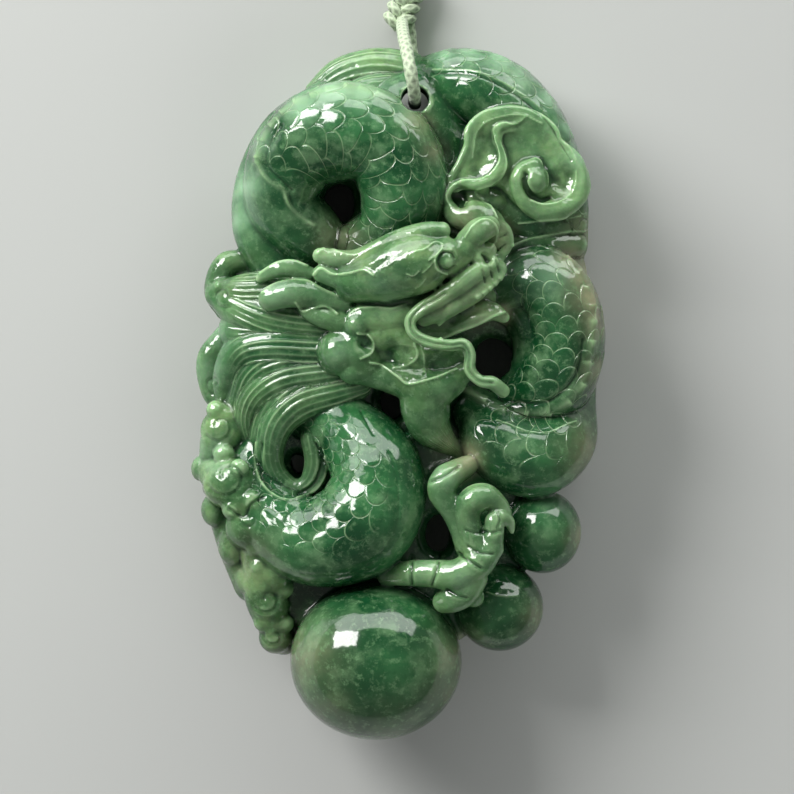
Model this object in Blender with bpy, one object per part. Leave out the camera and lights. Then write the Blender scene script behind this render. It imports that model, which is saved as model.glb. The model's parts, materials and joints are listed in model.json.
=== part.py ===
"""Jade dragon pendant on its braided cord, lying on its back with the dragon's face up.

The carving is drawn on a carver's grid of 696 units to its height, with x to the right, y to the
top and z up out of the back. Each form is a run of stations (x, y, z, radius) on that grid.
"""

import math

import bmesh
import bpy
from mathutils import Matrix, Vector

# Driving dimensions, in metres.
HEIGHT = 0.076
CORD_DIAMETER = 0.0014
DRILL_DIAMETER = 0.0030
KNOT_DIAMETER = 0.0038
KNOT_LENGTH = 0.0046
KNOT_TURN = 12
COIL_RADIUS = 0.0084
COIL_TURNS_WIDE = 6
COIL_TURNS_HIGH = 2
COIL_SLACK = 0.00005

GRID_HEIGHT = 696
GRID_MIDDLE = (4, -1)
UNIT = HEIGHT / GRID_HEIGHT

# How the solid is finished: the union's grain, and the share of its faces that stay.
GRAIN = 0.00036
FACES_KEPT = 0.035
SPAN_STEPS = 5
END_STEPS = 3
GRIND_DEPTH = 0.006

JADE_GREEN = (0.07, 0.25, 0.09)
CORD_GREEN = (0.42, 0.52, 0.36)

# The ground that the forms stand on: its outline, its piercings, and its lowest and highest levels.
GROUND_LOW = 17
GROUND_HIGH = 88
GROUND_EDGE = 14
GROUND_OUTLINE = [
    (-70, 305), (0, 328), (70, 328), (140, 292), (170, 222), (178, 150), (186, 60), (182, -40),
    (158, -82), (120, -205), (70, -245), (-20, -300), (-100, -248), (-136, -205), (-172, -138),
    (-188, -68), (-188, 12), (-178, 92), (-154, 172), (-124, 252),
]
PIERCINGS = {
    "crown coil": [(-62, 210), (-46, 206), (-46, 176), (-58, 168), (-76, 184), (-76, 204)],
    "jaw": [(-20, 2), (2, 2), (4, -22), (-10, -30), (-20, -16)],
    "right coil": [(76, 50), (100, 58), (120, 34), (114, 6), (84, 4), (74, 26)],
    "lower coil": [(-112, -62), (-96, -62), (-94, -80), (-106, -84)],
    "claw": [(26, -128), (44, -118), (52, -146), (44, -164), (24, -156)],
}

COILS = {
    "crown coil": [
        (-88, 154, 96, 34), (-117, 192, 104, 38), (-103, 238, 112, 46), (-58, 260, 120, 50),
        (-14, 246, 122, 47), (4, 204, 118, 46), (-8, 162, 106, 38), (-40, 142, 90, 30),
    ],
    "crest coil": [
        (22, 316, 72, 22), (62, 310, 84, 36), (105, 298, 90, 39), (138, 270, 92, 34),
        (157, 228, 90, 29), (162, 190, 84, 27), (164, 150, 78, 25),
    ],
    "right coil": [
        (108, 98, 100, 26), (136, 114, 108, 34), (164, 94, 114, 38), (174, 52, 112, 40),
        (160, 10, 108, 40), (128, -14, 96, 32),
    ],
    "right flank": [
        (72, -22, 98, 20), (94, -48, 108, 36), (130, -64, 110, 42), (160, -46, 100, 38),
        (178, -8, 84, 25), (182, 44, 76, 24), (176, 92, 76, 24), (166, 134, 74, 24),
    ],
    "lower coil": [
        (-100, -22, 84, 22), (-55, -38, 104, 36), (-24, -80, 120, 48), (-36, -130, 124, 52),
        (-86, -148, 114, 46), (-130, -124, 100, 36), (-150, -82, 90, 25), (-138, -46, 84, 18),
    ],
}
BACK_LEVEL = 33
BACK_SHARE = 0.9

FLANKS = {
    "left flank": [
        (-80, 296, 70, 16), (-118, 262, 74, 22), (-141, 212, 80, 24), (-144, 164, 86, 24),
        (-126, 128, 88, 24),
    ],
    "tail fan outer": [(-80, 302, 58, 12), (-56, 316, 60, 17), (-24, 324, 62, 19), (8, 320, 64, 20)],
    "tail fan inner": [(-66, 288, 74, 12), (-34, 302, 78, 15), (2, 306, 80, 15)],
    "belly band upper": [(108, 162, 92, 13), (146, 162, 92, 14), (176, 168, 84, 12)],
    "belly band lower": [(102, 140, 98, 13), (140, 145, 98, 13), (176, 147, 84, 12)],
}

HEAD = {
    "brow": [(-48, 114, 148, 24), (-15, 124, 158, 30), (22, 130, 168, 30), (46, 132, 170, 20)],
    "upper horn": [
        (-78, 135, 148, 11), (-55, 127, 152, 11), (-25, 134, 158, 12), (5, 149, 166, 13),
        (36, 157, 170, 11),
    ],
    "lower horn": [(-74, 112, 148, 12), (-46, 106, 156, 16), (-14, 108, 160, 22)],
    "nose bridge": [(52, 128, 164, 19), (75, 147, 166, 18), (88, 162, 160, 13)],
    "nose crest": [(58, 186, 128, 17), (72, 174, 136, 18), (90, 152, 140, 16), (98, 128, 138, 14)],
    "nostril": [(92, 158, 162, 10), (100, 146, 164, 9)],
    "upper lip": [
        (-4, 66, 160, 8), (4, 84, 164, 8), (24, 98, 168, 8), (52, 112, 170, 9), (76, 132, 168, 10),
        (96, 150, 160, 9),
    ],
    "upper gum": [(14, 74, 152, 9), (40, 90, 154, 10), (70, 106, 152, 10), (96, 128, 146, 9)],
    "fang": [(54, 92, 160, 8), (44, 76, 160, 6), (39, 64, 158, 2)],
    "tongue": [(22, 56, 136, 7), (52, 62, 142, 9), (80, 72, 144, 9), (100, 74, 140, 8)],
    "lower lip": [
        (-4, 66, 160, 8), (2, 50, 160, 7), (20, 40, 160, 7), (44, 39, 160, 7), (60, 34, 158, 7),
        (64, 18, 154, 7), (76, 8, 152, 7), (92, 5, 148, 9), (97, -5, 142, 8),
    ],
    "cheek": [(-52, 66, 140, 24), (-52, 40, 144, 28), (-36, 18, 140, 22)],
    "cheek plate": [(-30, 44, 136, 26), (0, 40, 140, 26), (40, 56, 128, 20)],
    "lower jaw": [(-34, 10, 136, 18), (0, 16, 142, 18), (30, 18, 142, 17), (52, 20, 138, 14)],
    "beard": [
        (10, 2, 130, 22), (18, -20, 124, 21), (32, -38, 118, 13), (50, -48, 116, 8),
        (66, -62, 112, 4),
    ],
    "ear": [(-44, 78, 140, 10), (-68, 82, 140, 13), (-92, 84, 134, 8), (-104, 94, 130, 3)],
}

MANE = {
    "lower branch": [
        (-140, 84, 132, 9), (-118, 98, 138, 13), (-90, 102, 140, 13), (-58, 94, 140, 12),
        (-34, 86, 138, 8),
    ],
    "upper branch": [(-138, 108, 122, 7), (-116, 120, 126, 9), (-88, 118, 126, 8)],
    "lock one": [
        (-38, 60, 118, 10), (-80, 62, 122, 15), (-124, 70, 120, 16), (-160, 88, 112, 14),
        (-182, 104, 98, 9),
    ],
    "lock two": [
        (-35, 42, 120, 12), (-80, 40, 124, 16), (-126, 42, 122, 17), (-160, 36, 112, 14),
        (-174, 14, 100, 11), (-178, -10, 90, 6),
    ],
    "lock three": [
        (-35, 24, 120, 12), (-74, 20, 124, 16), (-114, 14, 122, 17), (-144, -4, 114, 15),
        (-156, -28, 104, 11), (-150, -50, 94, 6),
    ],
    "lock four": [
        (-30, 4, 118, 10), (-66, 0, 122, 14), (-100, -10, 122, 16), (-126, -32, 116, 14),
        (-132, -62, 108, 12), (-118, -92, 102, 9), (-96, -98, 100, 7),
    ],
    "swirl": [(-82, -48, 106, 13), (-76, -74, 104, 13), (-92, -96, 102, 10)],
}

CLOUDS = {
    "scroll rim": [
        (47, 182, 118, 6), (60, 228, 120, 7), (70, 257, 120, 8), (86, 272, 120, 8),
        (112, 279, 120, 8), (136, 276, 120, 8), (153, 264, 120, 8), (160, 248, 118, 7),
        (172, 234, 118, 8), (180, 210, 116, 9), (176, 190, 116, 10), (158, 178, 120, 11),
        (136, 178, 122, 12), (119, 190, 126, 11), (114, 208, 128, 10), (126, 224, 130, 9),
        (142, 221, 130, 9), (147, 207, 130, 8), (137, 200, 130, 8),
    ],
    "scroll ribbon": [
        (47, 180, 140, 7), (60, 200, 140, 7), (80, 208, 138, 7), (97, 220, 136, 7),
        (102, 237, 134, 7), (95, 254, 132, 6), (106, 266, 130, 6), (122, 272, 126, 5),
    ],
    "left curl top": [(-152, 132, 84, 9), (-174, 128, 84, 13), (-184, 102, 80, 13), (-176, 82, 76, 10)],
    "left curl high": [(-176, 56, 72, 12), (-192, 32, 70, 13), (-189, 0, 68, 11), (-174, -16, 72, 11)],
    "left curl middle": [(-180, -30, 82, 22), (-186, -60, 78, 17)],
    "left curl low": [(-192, -80, 78, 15), (-170, -90, 98, 24), (-152, -113, 104, 24), (-136, -142, 96, 20)],
    "side cloud upper": [(-176, -118, 60, 16), (-164, -158, 62, 16), (-146, -196, 66, 18)],
    "side cloud lower": [(-134, -216, 66, 16), (-118, -246, 66, 19)],
    "foot cloud": [(-130, -182, 88, 19), (-134, -208, 90, 17), (-124, -230, 84, 13)],
}

CLAW = {
    "shin": [
        (-18, -193, 116, 9), (0, -186, 132, 14), (30, -180, 142, 15), (58, -174, 148, 17),
        (82, -158, 150, 17), (95, -134, 150, 14), (98, -116, 148, 12),
    ],
    "thumb": [
        (70, -152, 140, 13), (55, -128, 144, 14), (43, -106, 148, 17), (40, -90, 148, 17),
        (58, -82, 138, 10),
    ],
    "toe one": [(78, -142, 148, 12), (77, -122, 154, 12), (74, -108, 154, 14), (88, -98, 148, 12), (104, -104, 140, 9)],
    "toe two": [(96, -148, 148, 12), (99, -126, 152, 12), (106, -118, 150, 11), (115, -132, 140, 7)],
    "heel toe": [(62, -182, 142, 13), (55, -200, 140, 13), (68, -210, 132, 11), (85, -206, 122, 8)],
}

# Round forms: centre, then the three half widths.
PEARLS = {
    "great pearl": ((-24, -269, 98), (86, 79, 86)),
    "upper pearl": ((141, -141, 86), (41, 41, 44)),
    "lower pearl": ((100, -216, 84), (44, 44, 46)),
    "cord pad": ((12, 287, 84), (42, 34, 30)),
    "scroll face": ((122, 226, 100), (58, 52, 20)),
    "scroll stem": ((74, 226, 96), (26, 48, 16)),
    "eye": ((44, 125, 188), (8, 8, 8)),
}

# The drilled hole for the cord, and the cord's route in millimetres in the part's own frame.
DRILL_PLACE = (15, 292)
BAIL_ROUTE = [
    (-0.19, 41.3, 2.8), (-0.18, 40.6, 4.8), (-0.10, 39.6, 7.6), (0.06, 38.5, 10.2),
    (0.34, 37.0, 12.5), (0.68, 35.1, 13.9), (0.98, 33.4, 13.5), (1.16, 32.3, 12.1),
    (1.20, 32.0, 10.2), (1.20, 32.0, 7.6), (1.20, 32.0, 4.6), (1.16, 32.4, 2.6),
    (1.04, 33.7, 1.15), (0.84, 35.7, 0.85), (0.51, 38.7, 0.85), (0.08, 41.3, 1.0),
]
KNOT_PLACE = (0.31, 43.86, 1.95)
LEAD_RIGHT = [
    (1.46, 46.46, 1.5), (1.68, 47.4, 1.25), (2.35, 48.65, 0.95), (3.45, 49.9, 0.8), (5.7, 51.95, 0.75),
]
LEAD_LEFT = [
    (0.16, 46.56, 1.5), (-0.16, 47.4, 1.3), (-0.83, 48.65, 1.1), (-1.93, 49.9, 1.0), (-4.18, 51.95, 1.15),
]
COIL_PLACE = (0.76, 64.85)
MILLIMETRE = 0.001


def clear_scene():
    """An empty scene to build in."""
    for old in list(bpy.data.objects):
        bpy.data.objects.remove(old)


def finish(name, colour, roughness):
    """A plain material in the part's own colour."""
    material = bpy.data.materials.new(name)
    material.use_nodes = True
    shader = material.node_tree.nodes["Principled BSDF"]
    shader.inputs["Base Color"].default_value = (*colour, 1)
    shader.inputs["Roughness"].default_value = roughness
    shader.inputs["Metallic"].default_value = 0
    return material


def smooth_route(stations, steps=SPAN_STEPS):
    """Points on a smooth curve through the stations, with any radius carried along as a fourth value."""
    marks = [Vector(station) for station in stations]
    marks = [2 * marks[0] - marks[1], *marks, 2 * marks[-1] - marks[-2]]
    route = []
    for before, start, end, after in zip(marks, marks[1:], marks[2:], marks[3:]):
        for step in range(steps):
            t = step / steps
            route.append(
                0.5
                * (
                    2 * start
                    + (end - before) * t
                    + (2 * before - 5 * start + 4 * end - after) * t**2
                    + (3 * start - before - 3 * end + after) * t**3
                )
            )
    return [*route, marks[-2]]


def evenly_spaced(route, spacing):
    """Points along the route, as near to the spacing apart as its length allows, with both its ends."""
    lengths = [0]
    for start, end in zip(route, route[1:]):
        lengths.append(lengths[-1] + (end - start).length)
    count = max(1, round(lengths[-1] / spacing))
    points = []
    for step in range(count + 1):
        reach = lengths[-1] * step / count
        index = max(1, next(i for i, length in enumerate(lengths) if length >= reach - 1e-9))
        share = (reach - lengths[index - 1]) / (lengths[index] - lengths[index - 1])
        points.append(route[index - 1].lerp(route[index], share))
    return points


def rounded_ends(route):
    """The route with a half ball added at each end."""

    def ball(tip, inside):
        outward = (tip.xyz - inside.xyz).normalized()
        angles = [math.radians(85) * (step + 1) / END_STEPS for step in range(END_STEPS)]
        return [
            (*(tip.xyz + outward * tip.w * math.sin(angle)), tip.w * math.cos(angle)) for angle in angles
        ]

    return [*reversed(ball(route[0], route[1])), *map(tuple, route), *ball(route[-1], route[-2])]


def round_forms(forms, scale):
    """One mesh of closed tubes, a tube for each form, made by a bevelled curve."""
    curve = bpy.data.curves.new("forms", "CURVE")
    curve.dimensions = "3D"
    curve.bevel_depth = scale
    curve.bevel_resolution = 5
    curve.use_fill_caps = True
    for stations in forms:
        route = rounded_ends(smooth_route(stations))
        spline = curve.splines.new("POLY")
        spline.points.add(len(route) - 1)
        for point, (x, y, z, radius) in zip(spline.points, route):
            point.co = (x * scale, y * scale, z * scale, 1)
            point.radius = radius
    return curve_mesh(curve)


def curve_mesh(curve):
    """The mesh of a curve, without the curve."""
    maker = bpy.data.objects.new("maker", curve)
    mesh = bpy.data.meshes.new_from_object(maker)
    bpy.data.objects.remove(maker)
    return mesh


def ground_mesh():
    """The pierced slab behind the forms, with rounded edges."""
    curve = bpy.data.curves.new("ground", "CURVE")
    curve.dimensions = "2D"
    curve.fill_mode = "BOTH"
    curve.bevel_depth = GROUND_EDGE * UNIT
    curve.offset = -GROUND_EDGE * UNIT
    curve.bevel_resolution = 3
    curve.extrude = ((GROUND_HIGH - GROUND_LOW) / 2 - GROUND_EDGE) * UNIT
    for outline in [GROUND_OUTLINE, *PIERCINGS.values()]:
        spline = curve.splines.new("NURBS")
        spline.points.add(len(outline) - 1)
        for point, (x, y) in zip(spline.points, outline):
            point.co = (x * UNIT, y * UNIT, 0, 1)
        spline.use_cyclic_u = True
        spline.resolution_u = 4
    mesh = curve_mesh(curve)
    mesh.transform(Matrix.Translation((0, 0, (GROUND_LOW + GROUND_HIGH) / 2 * UNIT)))
    return mesh


def back_forms():
    """The coils again behind the ground, lower and slimmer, as the back of the pendant shows them."""
    return [
        [(x, y, BACK_LEVEL, radius * BACK_SHARE) for x, y, _, radius in stations]
        for stations in COILS.values()
    ]


def jade_shells():
    """Every form of the carving in one mesh, still as closed shells that overlap."""
    groups = (COILS, FLANKS, HEAD, MANE, CLOUDS, CLAW)
    forms = [stations for group in groups for stations in group.values()] + back_forms()
    shells = bmesh.new()
    shells.from_mesh(round_forms(forms, UNIT))
    shells.from_mesh(ground_mesh())
    for centre, half_widths in PEARLS.values():
        place = Matrix.Translation(Vector(centre) * UNIT) @ Matrix.Diagonal((*half_widths, 1))
        bmesh.ops.create_uvsphere(
            shells, u_segments=32, v_segments=16, radius=UNIT, matrix=place
        )
    x, y = GRID_MIDDLE
    shells.transform(Matrix.Translation((-x * UNIT, -y * UNIT, 0)))
    mesh = bpy.data.meshes.new("jade_carving")
    shells.to_mesh(mesh)
    shells.free()
    return mesh


def guide(name, data):
    """A cutter, which isn't part of the object."""
    cutter = bpy.data.objects.new(name, data)
    cutter.hide_render = True
    cutter.display_type = "WIRE"
    bpy.context.scene.collection.objects.link(cutter)
    return cutter


def drill_cutter():
    """The bore for the cord: down from the front, then along the back and out at the top."""
    x, y = ((place - middle) * UNIT for place, middle in zip(DRILL_PLACE, GRID_MIDDLE))
    bend = 2 * CORD_DIAMETER
    back_exit = CORD_DIAMETER * 0.6
    front = 200 * UNIT
    turn = [
        (x, y + bend * (1 - math.cos(angle)), back_exit + bend * (1 - math.sin(angle)))
        for angle in (math.radians(15 * step) for step in range(7))
    ]
    route = [(x, y, front), *turn, (x, y + 3 * bend, back_exit - DRILL_DIAMETER / 2)]
    curve = bpy.data.curves.new("drill", "CURVE")
    curve.dimensions = "3D"
    curve.bevel_depth = DRILL_DIAMETER / 2
    curve.bevel_resolution = 4
    curve.use_fill_caps = True
    spline = curve.splines.new("POLY")
    spline.points.add(len(route) - 1)
    for point, place in zip(spline.points, route):
        point.co = (*place, 1)
    mesh = curve_mesh(curve)
    welded = bmesh.new()
    welded.from_mesh(mesh)
    bmesh.ops.remove_doubles(welded, verts=welded.verts, dist=1e-6)
    welded.to_mesh(mesh)
    welded.free()
    return guide("drill", mesh)


def grind_cutter():
    """The block that is ground away to leave the back flat."""
    block = bmesh.new()
    bmesh.ops.create_cube(
        block, size=1, matrix=Matrix.Translation((0, 0, -GRIND_DEPTH / 2)) @ Matrix.Diagonal(
            (HEIGHT * 2, HEIGHT * 2, GRIND_DEPTH, 1)
        )
    )
    mesh = bpy.data.meshes.new("grind")
    block.to_mesh(mesh)
    block.free()
    return guide("grind", mesh)


def jade_carving():
    """The one solid of jade: the forms united, softened, thinned, drilled and ground flat behind."""
    carving = bpy.data.objects.new("jade_carving", jade_shells())
    bpy.context.scene.collection.objects.link(carving)
    carving.data.materials.append(finish("jade", JADE_GREEN, 0.08))
    union = carving.modifiers.new("union", "REMESH")
    union.mode = "VOXEL"
    union.voxel_size = GRAIN
    soften = carving.modifiers.new("soften", "SMOOTH")
    soften.factor = 0.5
    soften.iterations = 3
    thin = carving.modifiers.new("thin", "DECIMATE")
    thin.ratio = FACES_KEPT
    for cutter in (drill_cutter(), grind_cutter()):
        cut = carving.modifiers.new(cutter.name, "BOOLEAN")
        cut.operation = "DIFFERENCE"
        cut.solver = "EXACT"
        cut.object = cutter
    return carving


def cord_tube(name, route, material):
    """A stretch of cord as a plain round tube."""
    curve = bpy.data.curves.new(name, "CURVE")
    curve.dimensions = "3D"
    curve.bevel_depth = CORD_DIAMETER / 2
    curve.bevel_resolution = 2
    curve.use_fill_caps = True
    points = evenly_spaced(smooth_route(route), 2 * CORD_DIAMETER / MILLIMETRE)
    spline = curve.splines.new("POLY")
    spline.points.add(len(points) - 1)
    for point, place in zip(spline.points, points):
        point.co = (*(place * MILLIMETRE), 1)
    curve.materials.append(material)
    tube = bpy.data.objects.new(name, curve)
    bpy.context.scene.collection.objects.link(tube)
    return tube


def cord_knot(material):
    """The knot above the pendant: a barrel lying along the cord."""
    knot = bmesh.new()
    bmesh.ops.create_uvsphere(knot, u_segments=16, v_segments=12, radius=1)
    for vert in knot.verts:
        fullness = (1 - abs(vert.co.z) ** 4) ** 0.5
        ring = math.hypot(vert.co.x, vert.co.y)
        if ring > 0:
            vert.co.x *= fullness / ring
            vert.co.y *= fullness / ring
    size = Matrix.Diagonal((KNOT_DIAMETER / 2, KNOT_DIAMETER / 2, KNOT_LENGTH / 2, 1))
    place = Matrix.Translation(Vector(KNOT_PLACE) * MILLIMETRE)
    lying = Matrix.Rotation(math.radians(-KNOT_TURN), 4, "Z") @ Matrix.Rotation(math.radians(90), 4, "X")
    knot.transform(place @ lying @ size)
    mesh = bpy.data.meshes.new("cord_knot")
    knot.to_mesh(mesh)
    knot.free()
    mesh.shade_smooth()
    mesh.materials.append(material)
    solid = bpy.data.objects.new("cord_knot", mesh)
    bpy.context.scene.collection.objects.link(solid)
    return solid


def cord_coil(material):
    """The outer shape of the wound cord: a ring turned from an eight-sided section."""
    pitch = CORD_DIAMETER + COIL_SLACK
    wide = (pitch * COIL_TURNS_WIDE) / 2
    high = (pitch * COIL_TURNS_HIGH) / 2
    corner = CORD_DIAMETER / 2
    section = [
        (wide - corner, -high), (wide, corner - high), (wide, high - corner), (wide - corner, high),
        (corner - wide, high), (-wide, high - corner), (-wide, corner - high), (corner - wide, -high),
    ]
    ring = bmesh.new()
    verts = [ring.verts.new((COIL_RADIUS + x, 0, high + z)) for x, z in section]
    edges = [ring.edges.new(pair) for pair in zip(verts, verts[1:] + verts[:1])]
    bmesh.ops.spin(
        ring, geom=verts + edges, cent=(0, 0, 0), axis=(0, 0, 1), angle=math.tau, steps=32, use_merge=True
    )
    bmesh.ops.remove_doubles(ring, verts=ring.verts, dist=1e-6)
    bmesh.ops.recalc_face_normals(ring, faces=ring.faces)
    x, y = (place * MILLIMETRE for place in COIL_PLACE)
    ring.transform(Matrix.Translation((x, y, 0)))
    mesh = bpy.data.meshes.new("cord_coil")
    ring.to_mesh(mesh)
    ring.free()
    mesh.materials.append(material)
    solid = bpy.data.objects.new("cord_coil", mesh)
    bpy.context.scene.collection.objects.link(solid)
    return solid


def main():
    clear_scene()
    jade_carving()
    braid = finish("braided cord", CORD_GREEN, 0.8)
    cord_tube("cord_bail", BAIL_ROUTE, braid)
    cord_knot(braid)
    cord_tube("cord_lead_right", LEAD_RIGHT, braid)
    cord_tube("cord_lead_left", LEAD_LEFT, braid)
    cord_coil(braid)


main()
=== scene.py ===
"""Jade dragon pendant: the looks of the carving, its braided cord and the knot, on a pale floor."""

import json
import math

import bpy
import numpy as np
from bpy.props import FloatProperty, FloatVectorProperty, IntProperty, PointerProperty
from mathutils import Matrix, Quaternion, Vector

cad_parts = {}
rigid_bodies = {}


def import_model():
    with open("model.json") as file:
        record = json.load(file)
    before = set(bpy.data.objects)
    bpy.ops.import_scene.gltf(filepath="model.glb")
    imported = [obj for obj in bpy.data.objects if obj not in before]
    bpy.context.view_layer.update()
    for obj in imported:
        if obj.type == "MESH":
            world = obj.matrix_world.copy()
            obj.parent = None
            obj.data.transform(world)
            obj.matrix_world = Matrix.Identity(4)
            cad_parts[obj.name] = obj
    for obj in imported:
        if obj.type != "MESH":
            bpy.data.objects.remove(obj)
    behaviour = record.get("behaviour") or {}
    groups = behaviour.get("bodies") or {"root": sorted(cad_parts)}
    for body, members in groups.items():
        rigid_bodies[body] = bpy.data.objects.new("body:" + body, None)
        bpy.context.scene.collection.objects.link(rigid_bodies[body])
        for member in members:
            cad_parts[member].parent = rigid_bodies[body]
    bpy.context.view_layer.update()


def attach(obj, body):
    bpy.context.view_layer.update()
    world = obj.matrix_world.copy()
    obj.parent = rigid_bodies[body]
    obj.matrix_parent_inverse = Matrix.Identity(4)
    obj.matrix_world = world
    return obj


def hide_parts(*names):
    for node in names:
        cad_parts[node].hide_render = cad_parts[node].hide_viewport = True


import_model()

bl_info = {
    "name": "Jade dragon pendant",
    "version": (1, 0, 0),
    "blender": (4, 5, 0),
    "location": "3D Viewport > Sidebar > Pendant",
    "description": "A carved jade dragon on its braided cord",
    "category": "Object",
}

# The carver's grid: 696 units to the height, z up out of the back, as in the part's own source.
GRID_HEIGHT = 696
GRID_MIDDLE = (4, -1)
MILLIMETRE = 0.001

GROUND_LOW = 17
GROUND_HIGH = 88
GROUND_EDGE = 14
GROUND_OUTLINE = [
    (-70, 305), (0, 328), (70, 328), (140, 292), (170, 222), (178, 150), (186, 60), (182, -40),
    (158, -82), (120, -205), (70, -245), (-20, -300), (-100, -248), (-136, -205), (-172, -138),
    (-188, -68), (-188, 12), (-178, 92), (-154, 172), (-124, 252),
]
PIERCINGS = {
    "crown coil": [(-62, 210), (-46, 206), (-46, 176), (-58, 168), (-76, 184), (-76, 204)],
    "jaw": [(-20, 2), (2, 2), (4, -22), (-10, -30), (-20, -16)],
    "right coil": [(76, 50), (100, 58), (120, 34), (114, 6), (84, 4), (74, 26)],
    "lower coil": [(-112, -62), (-96, -62), (-94, -80), (-106, -84)],
    "claw": [(26, -128), (44, -118), (52, -146), (44, -164), (24, -156)],
}

# Each form is a run of stations (x, y, z, radius) on the grid.
COILS = {
    "crown coil": [
        (-88, 154, 96, 34), (-117, 192, 104, 38), (-103, 238, 112, 46), (-58, 260, 120, 50),
        (-14, 246, 122, 47), (4, 204, 118, 46), (-8, 162, 106, 38), (-40, 142, 90, 30),
    ],
    "crest coil": [
        (22, 316, 72, 22), (58, 311, 84, 35), (98, 297, 90, 38), (131, 268, 92, 34),
        (153, 228, 90, 29), (162, 190, 84, 27), (164, 150, 78, 25),
    ],
    "right coil": [
        (106, 98, 100, 26), (132, 113, 108, 34), (158, 94, 114, 37), (167, 52, 112, 38),
        (154, 11, 108, 39), (126, -12, 96, 32),
    ],
    "right flank": [
        (72, -22, 98, 20), (94, -48, 108, 36), (130, -64, 110, 42), (160, -46, 100, 38),
        (172, -8, 84, 25), (174, 44, 76, 24), (169, 92, 76, 24), (161, 134, 74, 24),
    ],
    "lower coil": [
        (-100, -22, 84, 22), (-55, -38, 104, 36), (-24, -80, 120, 48), (-36, -130, 124, 52),
        (-86, -148, 114, 46), (-130, -124, 100, 36), (-150, -82, 90, 25), (-138, -46, 84, 18),
    ],
}
BACK_LEVEL = 33
BACK_SHARE = 0.9

FLANKS = {
    "left flank": [
        (-80, 296, 70, 16), (-118, 262, 74, 22), (-141, 212, 80, 24), (-144, 164, 86, 24),
        (-126, 128, 88, 24),
    ],
    "crown sill": [(-88, 152, 98, 18), (-60, 149, 100, 18), (-34, 152, 100, 18)],
    "ridge bed": [
        (74, -6, 98, 13), (96, -18, 104, 15), (124, -24, 108, 16), (152, -20, 106, 16),
        (174, -6, 94, 15),
    ],
    "right slope": [
        (100, 92, 96, 20), (126, 80, 98, 26), (140, 48, 98, 28), (132, 12, 96, 26), (108, -6, 92, 20),
    ],
    "pad flank": [(30, 284, 84, 30), (42, 262, 84, 28), (50, 236, 86, 22), (44, 212, 96, 16)],
    "scroll foot": [(96, 204, 100, 20), (106, 184, 104, 22), (130, 168, 104, 18)],
    "tail fan outer": [(-84, 303, 58, 12), (-60, 320, 60, 17), (-26, 328, 62, 19), (8, 324, 64, 20)],
    "tail fan inner": [(-66, 288, 74, 12), (-34, 302, 78, 15), (2, 306, 80, 15)],
    "belly band upper": [(108, 162, 100, 13), (146, 162, 100, 14), (176, 168, 90, 12)],
    "belly band lower": [(102, 142, 106, 13), (140, 146, 106, 13), (176, 148, 92, 12)],
}

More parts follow.
